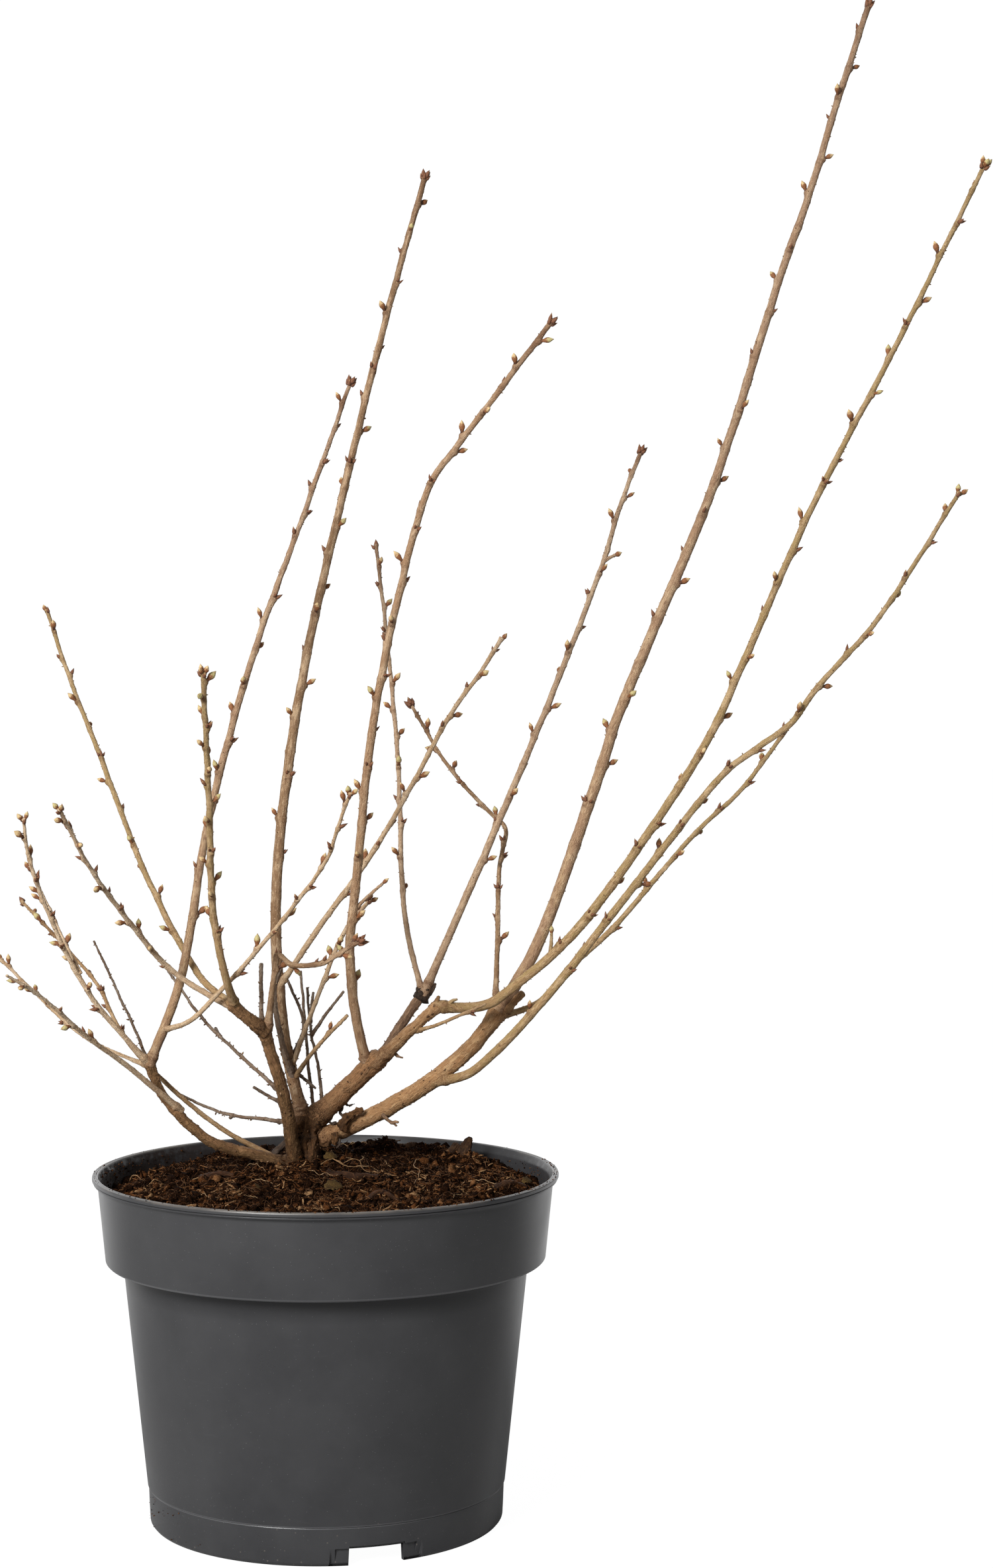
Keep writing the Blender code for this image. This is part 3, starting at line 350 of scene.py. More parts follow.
class Bark(NamedTuple):
    """A bark. Its colours: pale streaks, main colour, deep crevices, a tint in long bands, and the young
    end. Depth and size in millimetres of its lumps (their depth as a share of the radius), long ridges, long
    cracks and stepped flakes. Warts and nubs for each centimetre, the warts' height and the nubs' length. How
    far its middle line wanders. Spacing of its ring scars. How far a blunt end swells, as a share of the
    radius. Strength of its pale spots. Step along and sides round of its mesh."""

    pale: tuple
    main: tuple
    deep: tuple
    tint: tuple
    young: tuple
    lumps: tuple = (0.035, 8.0)
    ridges: tuple = (0.055, 0.7)
    cracks: tuple = (0.04, 1.2)
    flakes: tuple = (0.05, 1.1)
    warts: float = 11.0
    wart_height: float = 0.22
    nubs: float = 2.2
    nub_length: tuple = (0.4, 1.0)
    wander: float = 0.07
    rings: float = 15.0
    knuckle: float = 0.0
    dots: float = 0.35
    step: float = 0.5
    sides: int = 20


BARKS = {
    "crown": Bark(pale=(0.26, 0.125, 0.048), main=(0.075, 0.034, 0.013), deep=(0.008, 0.004, 0.002),
                  tint=(0.130, 0.055, 0.019), young=(0.180, 0.085, 0.032), lumps=(0.16, 3.4),
                  ridges=(0.3, 1.7), cracks=(0.35, 2.6), flakes=(1.0, 2.5), warts=55.0, wart_height=0.5,
                  nubs=6.0, nub_length=(0.7, 2.0), wander=0.0, rings=9.0, dots=0.0, step=0.36, sides=110),
    "bough": Bark(pale=(0.36, 0.200, 0.090), main=(0.165, 0.080, 0.032), deep=(0.035, 0.016, 0.006),
                  tint=(0.150, 0.082, 0.034), young=(0.33, 0.175, 0.085), ridges=(0.08, 0.6),
                  cracks=(0.08, 1.1), flakes=(0.04, 1.0), warts=45.0, wart_height=0.30,
                  nubs=3.0, nub_length=(0.4, 1.2), wander=0.25, rings=13.0, knuckle=0.15, dots=0.1,
                  step=0.40, sides=64),
    "pale_bough": Bark(pale=(0.64, 0.42, 0.22), main=(0.56, 0.310, 0.140), deep=(0.12, 0.056, 0.025),
                       tint=(0.41, 0.220, 0.098), young=(0.260, 0.146, 0.069), ridges=(0.08, 0.6),
                       cracks=(0.09, 1.1), flakes=(0.04, 1.0), warts=40.0,
                       wart_height=0.28, nubs=3.0, nub_length=(0.4, 1.2), wander=0.25, rings=17.0,
                       knuckle=0.15, dots=0.2, step=0.40, sides=64),
    "dark_bough": Bark(pale=(0.38, 0.24, 0.145), main=(0.120, 0.068, 0.040), deep=(0.045, 0.024, 0.013),
                       tint=(0.175, 0.100, 0.060), young=(0.44, 0.260, 0.150), lumps=(0.035, 7.0),
                       ridges=(0.10, 0.8), cracks=(0.10, 1.4), flakes=(0.05, 1.3), warts=34.0,
                       wart_height=0.28, nubs=3.0, nub_length=(0.4, 1.2), wander=0.2, rings=15.0,
                       knuckle=0.1, dots=0.15, step=0.42, sides=48),
    "straw": Bark(pale=(0.78, 0.61, 0.41), main=(0.57, 0.405, 0.25), deep=(0.25, 0.145, 0.078),
                  tint=(0.50, 0.33, 0.18), young=(0.60, 0.45, 0.31), sides=14),
    "tan": Bark(pale=(0.62, 0.44, 0.26), main=(0.40, 0.255, 0.125), deep=(0.16, 0.080, 0.036),
                tint=(0.35, 0.205, 0.095), young=(0.43, 0.285, 0.155), sides=14),
    "brown": Bark(pale=(0.62, 0.44, 0.28), main=(0.41, 0.26, 0.140), deep=(0.16, 0.080, 0.042),
                  tint=(0.35, 0.205, 0.112), young=(0.46, 0.31, 0.195), sides=20),
    "purple": Bark(pale=(0.62, 0.45, 0.28), main=(0.44, 0.280, 0.145), deep=(0.16, 0.082, 0.044),
                   tint=(0.36, 0.218, 0.130), young=(0.39, 0.265, 0.190), ridges=(0.07, 0.8),
                   cracks=(0.05, 1.4), sides=22),
    "green": Bark(pale=(0.62, 0.45, 0.26), main=(0.42, 0.258, 0.122), deep=(0.16, 0.080, 0.036),
                  tint=(0.37, 0.255, 0.110), young=(0.44, 0.31, 0.165), sides=20),
    "dead": Bark(pale=(0.40, 0.31, 0.235), main=(0.24, 0.160, 0.105), deep=(0.060, 0.036, 0.024),
                 tint=(0.16, 0.095, 0.058), young=(0.24, 0.185, 0.135), lumps=(0.06, 3.0), ridges=(0.06, 0.5),
                 flakes=(0.06, 0.9), warts=9.0, wart_height=0.22, nubs=3.0, nub_length=(0.7, 2.0),
                 wander=0.22, rings=14.0, dots=0.0, step=0.45, sides=12),
    "black": Bark(pale=(0.15, 0.105, 0.078), main=(0.048, 0.032, 0.023), deep=(0.010, 0.006, 0.004),
                  tint=(0.078, 0.046, 0.028), young=(0.048, 0.032, 0.023), lumps=(0.2, 2.6),
                  ridges=(0.25, 0.8), cracks=(0.25, 1.6), flakes=(0.4, 1.4), nubs=0.0, wander=0.2,
                  rings=9.0, dots=0.0, step=0.4, sides=16),
    "red": Bark(pale=(0.14, 0.060, 0.024), main=(0.052, 0.020, 0.008), deep=(0.010, 0.004, 0.002),
                tint=(0.032, 0.013, 0.005), young=(0.052, 0.020, 0.008), lumps=(0.25, 3.0),
                ridges=(0.2, 0.9), cracks=(0.3, 1.5), flakes=(0.25, 1.5), nubs=0.0, rings=9.0, dots=0.0,
                step=0.4, sides=20),
    "root": Bark(pale=(0.48, 0.31, 0.16), main=(0.30, 0.17, 0.075), deep=(0.13, 0.066, 0.028),
                 tint=(0.21, 0.11, 0.05), young=(0.30, 0.17, 0.08), lumps=(0.15, 1.2), ridges=(0.02, 0.4),
                 flakes=(0.01, 0.5), warts=0.0, nubs=0.0, wander=0.5, rings=50.0, dots=0.0, step=0.5,
                 sides=6),
}

BARKS["ruddy_bough"] = BARKS["bough"]._replace(pale=(0.50, 0.290, 0.140), main=(0.50, 0.250, 0.112),
                                               tint=(0.350, 0.175, 0.076), young=(0.270, 0.148, 0.072))
BARKS["clod"] = BARKS["crown"]._replace(pale=(0.16, 0.080, 0.034), main=(0.044, 0.019, 0.009),
                                        tint=(0.062, 0.027, 0.012), young=(0.058, 0.026, 0.012))
BARKS["arm_bough"] = BARKS["bough"]._replace(main=(0.23, 0.115, 0.047), tint=(0.23, 0.122, 0.054),
                                             young=(0.40, 0.215, 0.105))
BARKS["tan_bough"] = BARKS["pale_bough"]._replace(main=(0.21, 0.118, 0.058), tint=(0.31, 0.165, 0.072),
                                                  young=(0.56, 0.325, 0.155))
BARKS["golden"] = BARKS["purple"]._replace(main=(0.26, 0.155, 0.075), tint=(0.22, 0.125, 0.062),
                                           young=(0.58, 0.390, 0.245))
# Straw bark with a darker main colour and a very pale young end; the pale end is painted light for low left
# shoots that lean forward and face down.
BARKS["sandy"] = BARKS["straw"]._replace(main=(0.29, 0.175, 0.095), tint=(0.60, 0.420, 0.260),
                                         young=(0.95, 0.78, 0.56))
# A lighter copy of the straw bark: painted light for the far left shoots, which lean forward and face down.
BARKS["pale_straw"] = BARKS["straw"]._replace(main=(0.70, 0.510, 0.330), tint=(0.62, 0.440, 0.270),
                                              young=(0.86, 0.69, 0.50))
# A greyer, lighter copy of the brown bark: the grey is the shoots' own colour, and the extra lightness is
# painted light for shoots in the dimmer light at the right.
BARKS["grey_brown"] = BARKS["brown"]._replace(main=(0.48, 0.335, 0.210), tint=(0.41, 0.270, 0.170),
                                              young=(0.51, 0.385, 0.265))

PALE_BARKS = ("straw", "pale_straw", "sandy", "green")
SLOTS = {"crown": "old_bark", "bough": "bough_bark", "pale_bough": "bough_bark", "dark_bough": "bough_bark",
         "ruddy_bough": "bough_bark", "tan_bough": "bough_bark", "arm_bough": "bough_bark",
         "dead": "dead_bark", "black": "old_bark", "red": "peat", "root": "peat"}


def lattice_value(cell, seed):
    """A steady number from -1 to 1 for each whole-number cell, by multiplying and mixing bits."""
    cell = cell.astype(np.int64).astype(np.uint64)
    with np.errstate(over="ignore"):
        mixed = cell[..., 0] * np.uint64(374761393) + cell[..., 1] * np.uint64(668265263)
        mixed += cell[..., 2] * np.uint64(1274126177) + np.uint64(seed) * np.uint64(974634777)
        mixed = (mixed ^ (mixed >> np.uint64(13))) * np.uint64(1103515245)
    mixed = (mixed ^ (mixed >> np.uint64(16))) & np.uint64(0xFFFFFF)
    return mixed.astype(float) / 0x7FFFFF - 1.0


def soft_noise(points, seed):
    """Smooth noise: the eight values at a cell's corners, blended by 3t^2 - 2t^3 along each axis."""
    cell = np.floor(points)
    t = points - cell
    t = t * t * (3.0 - 2.0 * t)
    total = 0.0
    for x in (0, 1):
        for y in (0, 1):
            for z in (0, 1):
                weight = (t[..., 0] if x else 1 - t[..., 0]) * (t[..., 1] if y else 1 - t[..., 1])
                weight = weight * (t[..., 2] if z else 1 - t[..., 2])
                total = total + weight * lattice_value(cell + np.array([x, y, z]), seed)
    return total


def rough_noise(points, seed, layers=3):
    """Layers of soft noise, each half as large and half as strong as the one before."""
    total = 0.0
    for layer in range(layers):
        total = total + soft_noise(points * 2.0**layer, seed + layer) * 0.5**layer
    return total


def stepped(value, steps):
    """The value in whole steps with a steep rise between them, as bark scales off in plates."""
    scaled = value * steps
    whole = np.floor(scaled)
    rise = np.clip((scaled - whole - 0.5) * 4.0 + 0.5, 0.0, 1.0)
    return (whole + rise) / steps


def clods(points, size, seed):
    """Rounded clods that meet in sharp creases: 1 - (distance to the nearest seed, in clods)^2, with one seed
    in each square cell, moved about inside it."""
    place = points[..., :2] / size
    cell = np.floor(place)
    nearest = np.full(place.shape[:-1], 9.0)
    for x in (-1, 0, 1):
        for y in (-1, 0, 1):
            corner = np.concatenate([cell + np.array([x, y]), np.zeros_like(cell[..., :1])], axis=-1)
            shift = np.stack([lattice_value(corner, seed), lattice_value(corner, seed + 1)], axis=-1)
            away = corner[..., :2] + 0.5 + 0.42 * shift - place
            nearest = np.minimum(nearest, (away**2).sum(axis=-1))
    return 1.0 - nearest


def name_seed(name):
    return sum(ord(letter) for letter in name)


def smooth_way(way):
    """Finely spaced points on a curve through the way's places: between two places a cubic, whose slope at a
    place is the mean of the runs on both sides, each weighted by the root of the other's length."""
    place = np.array(way, float)
    root_length = np.linalg.norm(np.diff(place, axis=0), axis=1) ** 0.5
    run = np.diff(place, axis=0) / root_length[:, None]
    slope = np.vstack([run[:1], np.zeros((len(place) - 2, 3)), run[-1:]])
    before = root_length[:-1, None]
    after = root_length[1:, None]
    slope[1:-1] = (run[:-1] * after + run[1:] * before) / (before + after)
    u = np.linspace(0.0, 1.0, CURVE_FINENESS, endpoint=False)[:, None]
    pieces = []
    for i, span in enumerate(root_length):
        pieces.append((2 * u**3 - 3 * u**2 + 1) * place[i] + (u**3 - 2 * u**2 + u) * span * slope[i]
                      + (3 * u**2 - 2 * u**3) * place[i + 1] + (u**3 - u**2) * span * slope[i + 1])
    return np.vstack(pieces + [place[-1:]])


def unit(vectors):
    return vectors / np.linalg.norm(vectors, axis=-1, keepdims=True)


class Bud(NamedTuple):
    """A bud by the seeded rule: distance from the limb's foot, turn round the limb in radians, size, and
    whether it is a plump or a small pointed one."""

    distance: float
    turn: float
    size: float
    plump: bool


def bud_rows(limb, whole):
    """The limb's side buds, a golden turn apart, that crowd a little towards the tip."""
    chance = np.random.default_rng(name_seed(limb.name))
    rows = []
    for i in range(limb.buds):
        share = ((i + 0.5 + chance.uniform(-SPACING_PLAY, SPACING_PLAY)) / limb.buds) ** CROWDING
        distance = whole * (limb.first + (LAST_BUD - limb.first) * share)
        turn = math.radians(limb.turn + GOLDEN_TURN * i + chance.uniform(-TURN_PLAY, TURN_PLAY))
        plump = chance.random() > SMALL_BUD_SHARE
        rows.append(Bud(distance, turn, chance.uniform(*BUD_SIZES), plump))
    return rows


class Route:
    """A limb's middle line: the smooth way, which wanders a little and sways at each bud, and the directions
    along it."""

    def __init__(self, limb, wander):
        self.fine = smooth_way(limb.way)
        self.along = np.concatenate([[0.0], np.cumsum(np.linalg.norm(np.diff(self.fine, axis=0), axis=1))])
        self.whole = self.along[-1]
        self.slope = np.gradient(self.fine, self.along, axis=0)
        self.buds = bud_rows(limb, self.whole)
        self.bend(wander, name_seed(limb.name))

    def bend(self, wander, seed):
        """Move the line: by noise times `wander`, and NODE_SWAY towards each bud, and not at its two ends."""
        _, _, right, back = self.at(self.along)
        waves = np.stack([self.along / 6.0, np.zeros_like(self.along), np.zeros_like(self.along)], axis=1)
        sideways = right * rough_noise(waves, seed + 60)[:, None]
        backwards = back * rough_noise(waves, seed + 70)[:, None]
        move = wander * (sideways + backwards)
        for bud in self.buds:
            near = np.exp(-(((self.along - bud.distance) / 5.0) ** 2))[:, None]
            move += NODE_SWAY * near * (right * math.cos(bud.turn) + back * math.sin(bud.turn))
        ends = np.minimum(self.along, self.whole - self.along) / 8.0
        self.fine = self.fine + move * np.clip(ends, 0.0, 1.0)[:, None]
        self.slope = np.gradient(self.fine, self.along, axis=0)

    def at(self, distance):
        """Place and directions at distances from the foot; past an end the line runs straight on."""
        distance = np.atleast_1d(np.asarray(distance, float))
        place = np.stack([np.interp(distance, self.along, self.fine[:, k]) for k in range(3)], axis=1)
        slopes = [np.interp(distance, self.along, self.slope[:, k]) for k in range(3)]
        heading = unit(np.stack(slopes, axis=1))
        beyond = distance - np.clip(distance, 0.0, self.whole)
        place += heading * beyond[:, None]
        right = unit(np.array([1.0, 0.0, 0.0]) - heading * heading[:, :1])
        return place, heading, right, np.cross(heading, right)

    def spot(self, distance, turn):
        """Place, heading and outward direction at one distance and turn."""
        place, heading, right, back = (value[0] for value in self.at(distance))
        return place, heading, right * math.cos(turn) + back * math.sin(turn)


def limb_radius(limb, distance, whole):
    """Even taper from foot to tip, with a short flare at the foot, smaller on a thick limb."""
    share = np.clip(distance / whole, 0.0, 1.0)
    even = (limb.thick[0] + (limb.thick[1] - limb.thick[0]) * share) / 2.0
    flare = FOOT_FLARE * min(1.0, FLARE_THICK / limb.thick[0])
    return even * (1.0 + flare * np.exp(-np.maximum(distance, 0.0) / FLARE_LENGTH))


def grid_faces(rows, columns):
    """Triangles of a grid whose last column meets its first, seen from outside."""
    row, column = np.meshgrid(np.arange(rows - 1), np.arange(columns), indexing="ij")
    after = (column + 1) % columns
    a = row * columns + column
    b = row * columns + after
    c = (row + 1) * columns + after
    d = (row + 1) * columns + column
    return np.stack([a, b, c, a, c, d], axis=-1).reshape(-1, 3)


def closed_faces(rows, columns):
    """The same with a pole at each end: the first pole is the point after the grid, the second the next."""
    column = np.arange(columns)
    after = (column + 1) % columns
    foot = np.stack([np.full(columns, rows * columns), after, column], axis=1)
    last = (rows - 1) * columns
    tip = np.stack([np.full(columns, rows * columns + 1), last + column, last + after], axis=1)
    return np.vstack([grid_faces(rows, columns), foot, tip])


def many_faces(faces, count, points):
    """The faces of one shape, repeated for `count` shapes of `points` points each."""
    return (faces[None] + (np.arange(count) * points)[:, None, None]).reshape(-1, 3)


def add_piece(name, points, faces, materials, values=None, replaced=(), material_of_face=None,
              smooth=True):
    """Put points (millimetres) and triangles into a mesh object that rides on the plant's one body."""
    mesh = bpy.data.meshes.new(name)
    mesh.vertices.add(len(points))
    mesh.vertices.foreach_set("co", (np.asarray(points, float) * MM).ravel())
    mesh.loops.add(faces.size)
    mesh.loops.foreach_set("vertex_index", faces.ravel().astype(np.int32))
    mesh.polygons.add(len(faces))
    mesh.polygons.foreach_set("loop_start", np.arange(len(faces), dtype=np.int32) * 3)
    mesh.update(calc_edges=True)
    for value_name, value in (values or {}).items():
        vector = value.ndim == 2
        attribute = mesh.attributes.new(value_name, "FLOAT_VECTOR" if vector else "FLOAT", "POINT")
        attribute.data.foreach_set("vector" if vector else "value", value.astype(np.float32).ravel())
    for material in materials:
        mesh.materials.append(material)
    if material_of_face is not None:
        mesh.polygons.foreach_set("material_index", material_of_face.astype(np.int32))
    if smooth:
        mesh.shade_smooth()
    piece = bpy.data.objects.new(name, mesh)
    bpy.context.scene.collection.objects.link(piece)
    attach(piece, "root")
    if replaced:
        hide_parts(*replaced)
    return piece


def join_shapes(shapes):
    """Points, faces and values of several shapes, put one after another."""
    points, faces, values, first = [], [], {}, 0
    for shape_points, shape_faces, shape_values in shapes:
        points.append(shape_points)
        faces.append(shape_faces + first)
        first += len(shape_points)
        for key, value in shape_values.items():
            values.setdefault(key, []).append(value)
    return np.vstack(points), np.vstack(faces), {key: np.concatenate(value) for key, value in values.items()}


def bell_sum(distance, turns, spots):
    """Bumps added up on the grid of distances and turns. A spot is its distance, turn, length, width and
    height, and its bump is height x exp(-(away along / length)^2) x exp(-(away round / width)^2)."""
    if not len(spots):
        return np.zeros((len(distance), len(turns)))
    spot_distance, spot_turn, length, width, height = np.array(spots, float).T
    along = np.exp(-(((distance[:, None] - spot_distance) / length) ** 2))
    away = (turns[:, None] - spot_turn + math.pi) % FULL_TURN - math.pi
    around = np.exp(-((away / width) ** 2))
    return (along * height) @ around.T


ALL_ROUND = 99.0


def wart_spots(limb, bark, route, chance):
    """Small raised warts, strewn evenly over the bark."""
    count = int(route.whole * bark.warts / 10.0)
    distance = chance.uniform(0.0, route.whole, count)
    radius = limb_radius(limb, distance, route.whole)
    length = chance.uniform(0.3, 0.65, count)
    height = bark.wart_height * chance.uniform(0.35, 1.0, count)
    return np.stack([distance, chance.uniform(0.0, FULL_TURN, count), length,
                     chance.uniform(0.3, 0.65, count) / radius, height], axis=1)


def ring_spots(bark, route, chance):
    """Low rings round the limb, where a year's growth or a fallen scale left a scar."""
    places = np.arange(bark.rings * 0.6, route.whole, bark.rings)
    places = places + chance.uniform(-0.3, 0.3, len(places)) * bark.rings
    return [(place, 0.0, chance.uniform(0.4, 0.9), ALL_ROUND, chance.uniform(0.1, 1.0)) for place in places]


def joint_spots(limb, route, limbs):
    """Swellings where other limbs grow from this one: a broad low bump on the side of each."""
    spots = []
    for other in limbs:
        away = np.linalg.norm(route.fine - np.array(other.way[0], float), axis=1)
        nearest = int(np.argmin(away))
        place = route.along[nearest]
        radius = limb_radius(limb, place, route.whole)
        if other is limb or away[nearest] > radius + 1.0:
            continue
        _, _, right, back = (value[0] for value in route.at(place))
        out = np.subtract(other.way[1], other.way[0])
        half = other.thick[0] / 2.0
        spots.append((place + half, math.atan2(out @ back, out @ right), half + 2.0, (half + 1.5) / radius,
                      0.22 * half))
    return spots


def reach_inside(limb, route, limbs, routes):
    """How far from its foot the limb is still inside the limb that it grows from."""
    reach = 0.0
    for other in limbs:
        if other is limb or np.linalg.norm(routes[other.name].fine - route.fine[0], axis=1).min() > 9.0:
            continue
        gap = np.linalg.norm(route.fine[:, None] - routes[other.name].fine[None], axis=2)
        radius = limb_radius(other, routes[other.name].along[gap.argmin(axis=1)], routes[other.name].whole)
        inside = gap.min(axis=1) < radius
        if inside[0] and not inside.all():
            reach = max(reach, route.along[int(np.argmin(inside))])
    return reach


def skin_rings(limb, bark, route):
    """Distances of the skin's rings, and the share of the full radius that each has: both ends are closed by
    a quarter circle."""
    count = max(8, int(route.whole / bark.step))
    quarter = np.linspace(0.0, 1.0, 5)[1:-1] * math.pi / 2.0
    foot_reach = FOOT_END * limb_radius(limb, 0.0, route.whole)
    tip_reach = TIP_END * limb_radius(limb, route.whole, route.whole)
    distance = np.concatenate([-foot_reach * np.sin(quarter[::-1]), np.linspace(0.0, route.whole, count),
                               route.whole + tip_reach * np.sin(quarter)])
    share = np.concatenate([np.cos(quarter[::-1]), np.ones(count), np.cos(quarter)])
    ends = route.at(np.array([-foot_reach, route.whole + tip_reach]))[0]
    return distance, share, ends


def limb_skin(limb, bark, route, joints=(), reach=0.0, low_darkening=0.0):
    """The limb's bark: a tube of radius taper + relief round the route. The relief adds slow lumps, long
    ridges, stepped flakes that are deeper near the foot, warts, rings, swellings at joints and buds, a rough
    collar where the limb leaves its parent, and wrinkles at each node, and takes away long cracks, which lie
    where a stretched noise passes nought. The colour turns darker in patches where the limb runs low near the
    peat and the crown, and painted shade darkens it near its foot."""
    seed = name_seed(limb.name)
    chance = np.random.default_rng(seed + 7)
    distance, share, ends = skin_rings(limb, bark, route)
    turns = np.linspace(0.0, FULL_TURN, bark.sides, endpoint=False)
    base = limb_radius(limb, distance, route.whole)[:, None]
    grain = np.empty((len(distance), bark.sides, 3))
    grain[..., 0] = np.cos(turns) * base.mean()
    grain[..., 1] = np.sin(turns) * base.mean()
    grain[..., 2] = distance[:, None]
    lumps = rough_noise(grain / bark.lumps[1], seed + 90, 2)
    ridges = rough_noise(grain / bark.ridges[1] * RIDGE_STRETCH, seed)
    flakes = stepped(rough_noise(grain / bark.flakes[1] * FLAKE_STRETCH, seed + 40), 3.0)
    creases = soft_noise(grain * (0.5, 0.5, 1.5), seed + 20)
    cracks = 1.0 - np.abs(rough_noise(grain / bark.cracks[1] * RIDGE_STRETCH, seed + 30, 2)) / CRACK_WIDTH
    cracks = np.clip(cracks, 0.0, 1.0) * np.clip(0.45 + 1.6 * soft_noise(grain / 2.4, seed + 33), 0.0, 1.0)
    grains = 0.16 * soft_noise(grain * 1.7, seed + 50)
    wear = np.exp(-np.maximum(distance - reach, 0.0) / WEAR_LENGTH)[:, None]
    warts = bell_sum(distance, turns, wart_spots(limb, bark, route, chance))
    rings = bell_sum(distance, turns, ring_spots(bark, route, chance))
    swells = bell_sum(distance, turns, joints)
    nodes = bell_sum(distance, turns, [(bud.distance - 1.2, bud.turn, NODE_LENGTH, ALL_ROUND, 1.0)
                                       for bud in route.buds])
    seats = bell_sum(distance, turns, [(bud.distance - 0.4, bud.turn, 1.3, 1.15 / limb_radius(
        limb, bud.distance, route.whole), bud.size * (0.9 if bud.plump else 0.65)) for bud in route.buds])
    scars = bell_sum(distance, turns, [(bud.distance - 1.6, bud.turn, 0.45, 0.8, 1.0) for bud in route.buds])
    collar = np.exp(-(((distance - reach - 0.6) / (0.5 * base.mean() + 0.8)) ** 2))[:, None] if reach else 0.0
    crown_end = 0.40 * np.exp(-(((route.whole - distance) / 1.6) ** 2))[:, None] if limb.tip_buds else 0.0
    relief = (bark.lumps[0] * base * lumps + bark.ridges[0] * ridges + bark.flakes[0] * (1.0 + wear) * flakes
              - bark.cracks[0] * cracks + warts + bark.wart_height * grains + 0.04 * base * rings
              + swells * (1.0 + 0.5 * creases)
              + seats + crown_end
              + np.minimum(nodes, 1.0) * (0.05 * base + 0.08 + 0.08 * creases)
              + collar * (0.16 * base + 0.32 * flakes + 0.20 * creases))
    radius = base * share[:, None] + relief * np.clip(share, 0.2, 1.0)[:, None]
    place, _, right, back = route.at(distance)
    side = right[:, None] * np.cos(turns)[None, :, None] + back[:, None] * np.sin(turns)[None, :, None]
    points = (place[:, None] + side * radius[..., None]).reshape(-1, 3)
    height = (bark.ridges[0] * ridges + bark.flakes[0] * flakes) / (bark.ridges[0] + bark.flakes[0])
    tone = 0.5 + 0.3 * height + 0.8 * warts - 0.2 * cracks
    mark = 0.6 * scars + 0.45 * rings * (0.5 + 0.5 * creases) + np.minimum(nodes, 1.0) * (0.2 + 0.4 * creases)
    # Painted shade: darker towards the limb's foot, more so on a thick limb.
    foot_shade = FOOT_SHADE * limb.thick[0] * np.exp(-np.maximum(distance, 0.0) / FOOT_SHADE_LENGTH)
    mark = mark + 0.7 * np.clip(seats, 0.0, 0.9) + np.minimum(foot_shade, 0.5)[:, None]
    if limb.tip_buds:
        tip_shade = (0.7 + 1.3 * lumps) * (0.3 if limb.bark in PALE_BARKS else 1.0)
        mark = mark + tip_shade * np.exp(-(route.whole - distance) / TIP_SHADE_LENGTH)[:, None]
    # Darker in patches where the limb runs low near the peat and the crown.
    low = np.clip((LOW_DARK_HEIGHTS[0] - place[:, 2]) / (LOW_DARK_HEIGHTS[0] - LOW_DARK_HEIGHTS[1]), 0.0, 1.0)
    from_crown = np.hypot(place[:, 0] - MOUND_MIDDLE[0], place[:, 1] - MOUND_MIDDLE[1])
    near_peat = (low * np.exp(-((from_crown / LOW_DARK_SPREAD) ** 2)))[:, None]
    dark_patches = np.clip(0.75 + 1.6 * rough_noise(grain / 3.5, seed + 80, 2), 0.0, 1.3)
    mark = mark + collar * (0.45 + 0.6 * creases) + 0.15 * wear + low_darkening * near_peat * dark_patches
    mark = mark + np.minimum(swells, 1.0) * (0.15 + 0.3 * creases)
    young = np.clip(distance / route.whole, 0.0, 1.0)[:, None] + np.zeros((1, bark.sides))
    values = {
        "grain_place": np.vstack([grain.reshape(-1, 3), grain[0, :1], grain[-1, :1]]) * MM,
        "tone": np.append(np.clip(tone, 0.0, 1.0).ravel(), [0.4, 0.3]),
        "mark": np.append(np.clip(mark, 0.0, 1.0).ravel(), [0.5, 0.6]),
        "young": np.append(young.ravel(), [0.0, 1.0]),
    }
    return np.vstack([points, ends]), closed_faces(len(distance), bark.sides), values


def add_node(tree, kind, settings=None, **inputs):
    """Add a node; inputs are numbers, colours or the sockets they come from, with _ for a space in a name."""
    node = tree.nodes.new(kind)
    for key, value in (settings or {}).items():
        setattr(node, key, value)
    for key, value in inputs.items():
        plug(tree, node.inputs[key.replace("_", " ")], value)
    return node


def plug(tree, socket, value):
    if isinstance(value, bpy.types.NodeSocket):
        tree.links.new(value, socket)
    else:
        socket.default_value = value


def mix_colours(tree, share, first, second, how="MIX"):
    node = tree.nodes.new("ShaderNodeMix")
    node.data_type = "RGBA"
    node.blend_type = how
    plug(tree, node.inputs[0], share)
    plug(tree, node.inputs[6], first if isinstance(first, bpy.types.NodeSocket) else (*first, 1.0)[:4])
    plug(tree, node.inputs[7], second if isinstance(second, bpy.types.NodeSocket) else (*second, 1.0)[:4])
    return node.outputs[2]


def maths(tree, how, first, second=0.0, clamp=False):
    node = tree.nodes.new("ShaderNodeMath")
    node.operation = how
    node.use_clamp = clamp
    plug(tree, node.inputs[0], first)
    plug(tree, node.inputs[1], second)
    return node.outputs[0]


def spread_out(tree, value, low, high, new_low=0.0, new_high=1.0):
    """The value brought from low..high to new_low..new_high, with nothing outside."""
    node = tree.nodes.new("ShaderNodeMapRange")
    node.clamp = True
    plug(tree, node.inputs[0], value)
    for i, number in enumerate((low, high, new_low, new_high)):
        plug(tree, node.inputs[i + 1], number)
    return node.outputs[0]


def scaled_place(tree, place, scale):
    node = add_node(tree, "ShaderNodeVectorMath", {"operation": "MULTIPLY"})
    plug(tree, node.inputs[0], place)
    node.inputs[1].default_value = scale
    return node.outputs[0]


def noise(tree, place, scale, detail=4.0):
    node = add_node(tree, "ShaderNodeTexNoise", Vector=place, Scale=scale, Detail=detail, Roughness=0.6)
    return node.outputs[0]


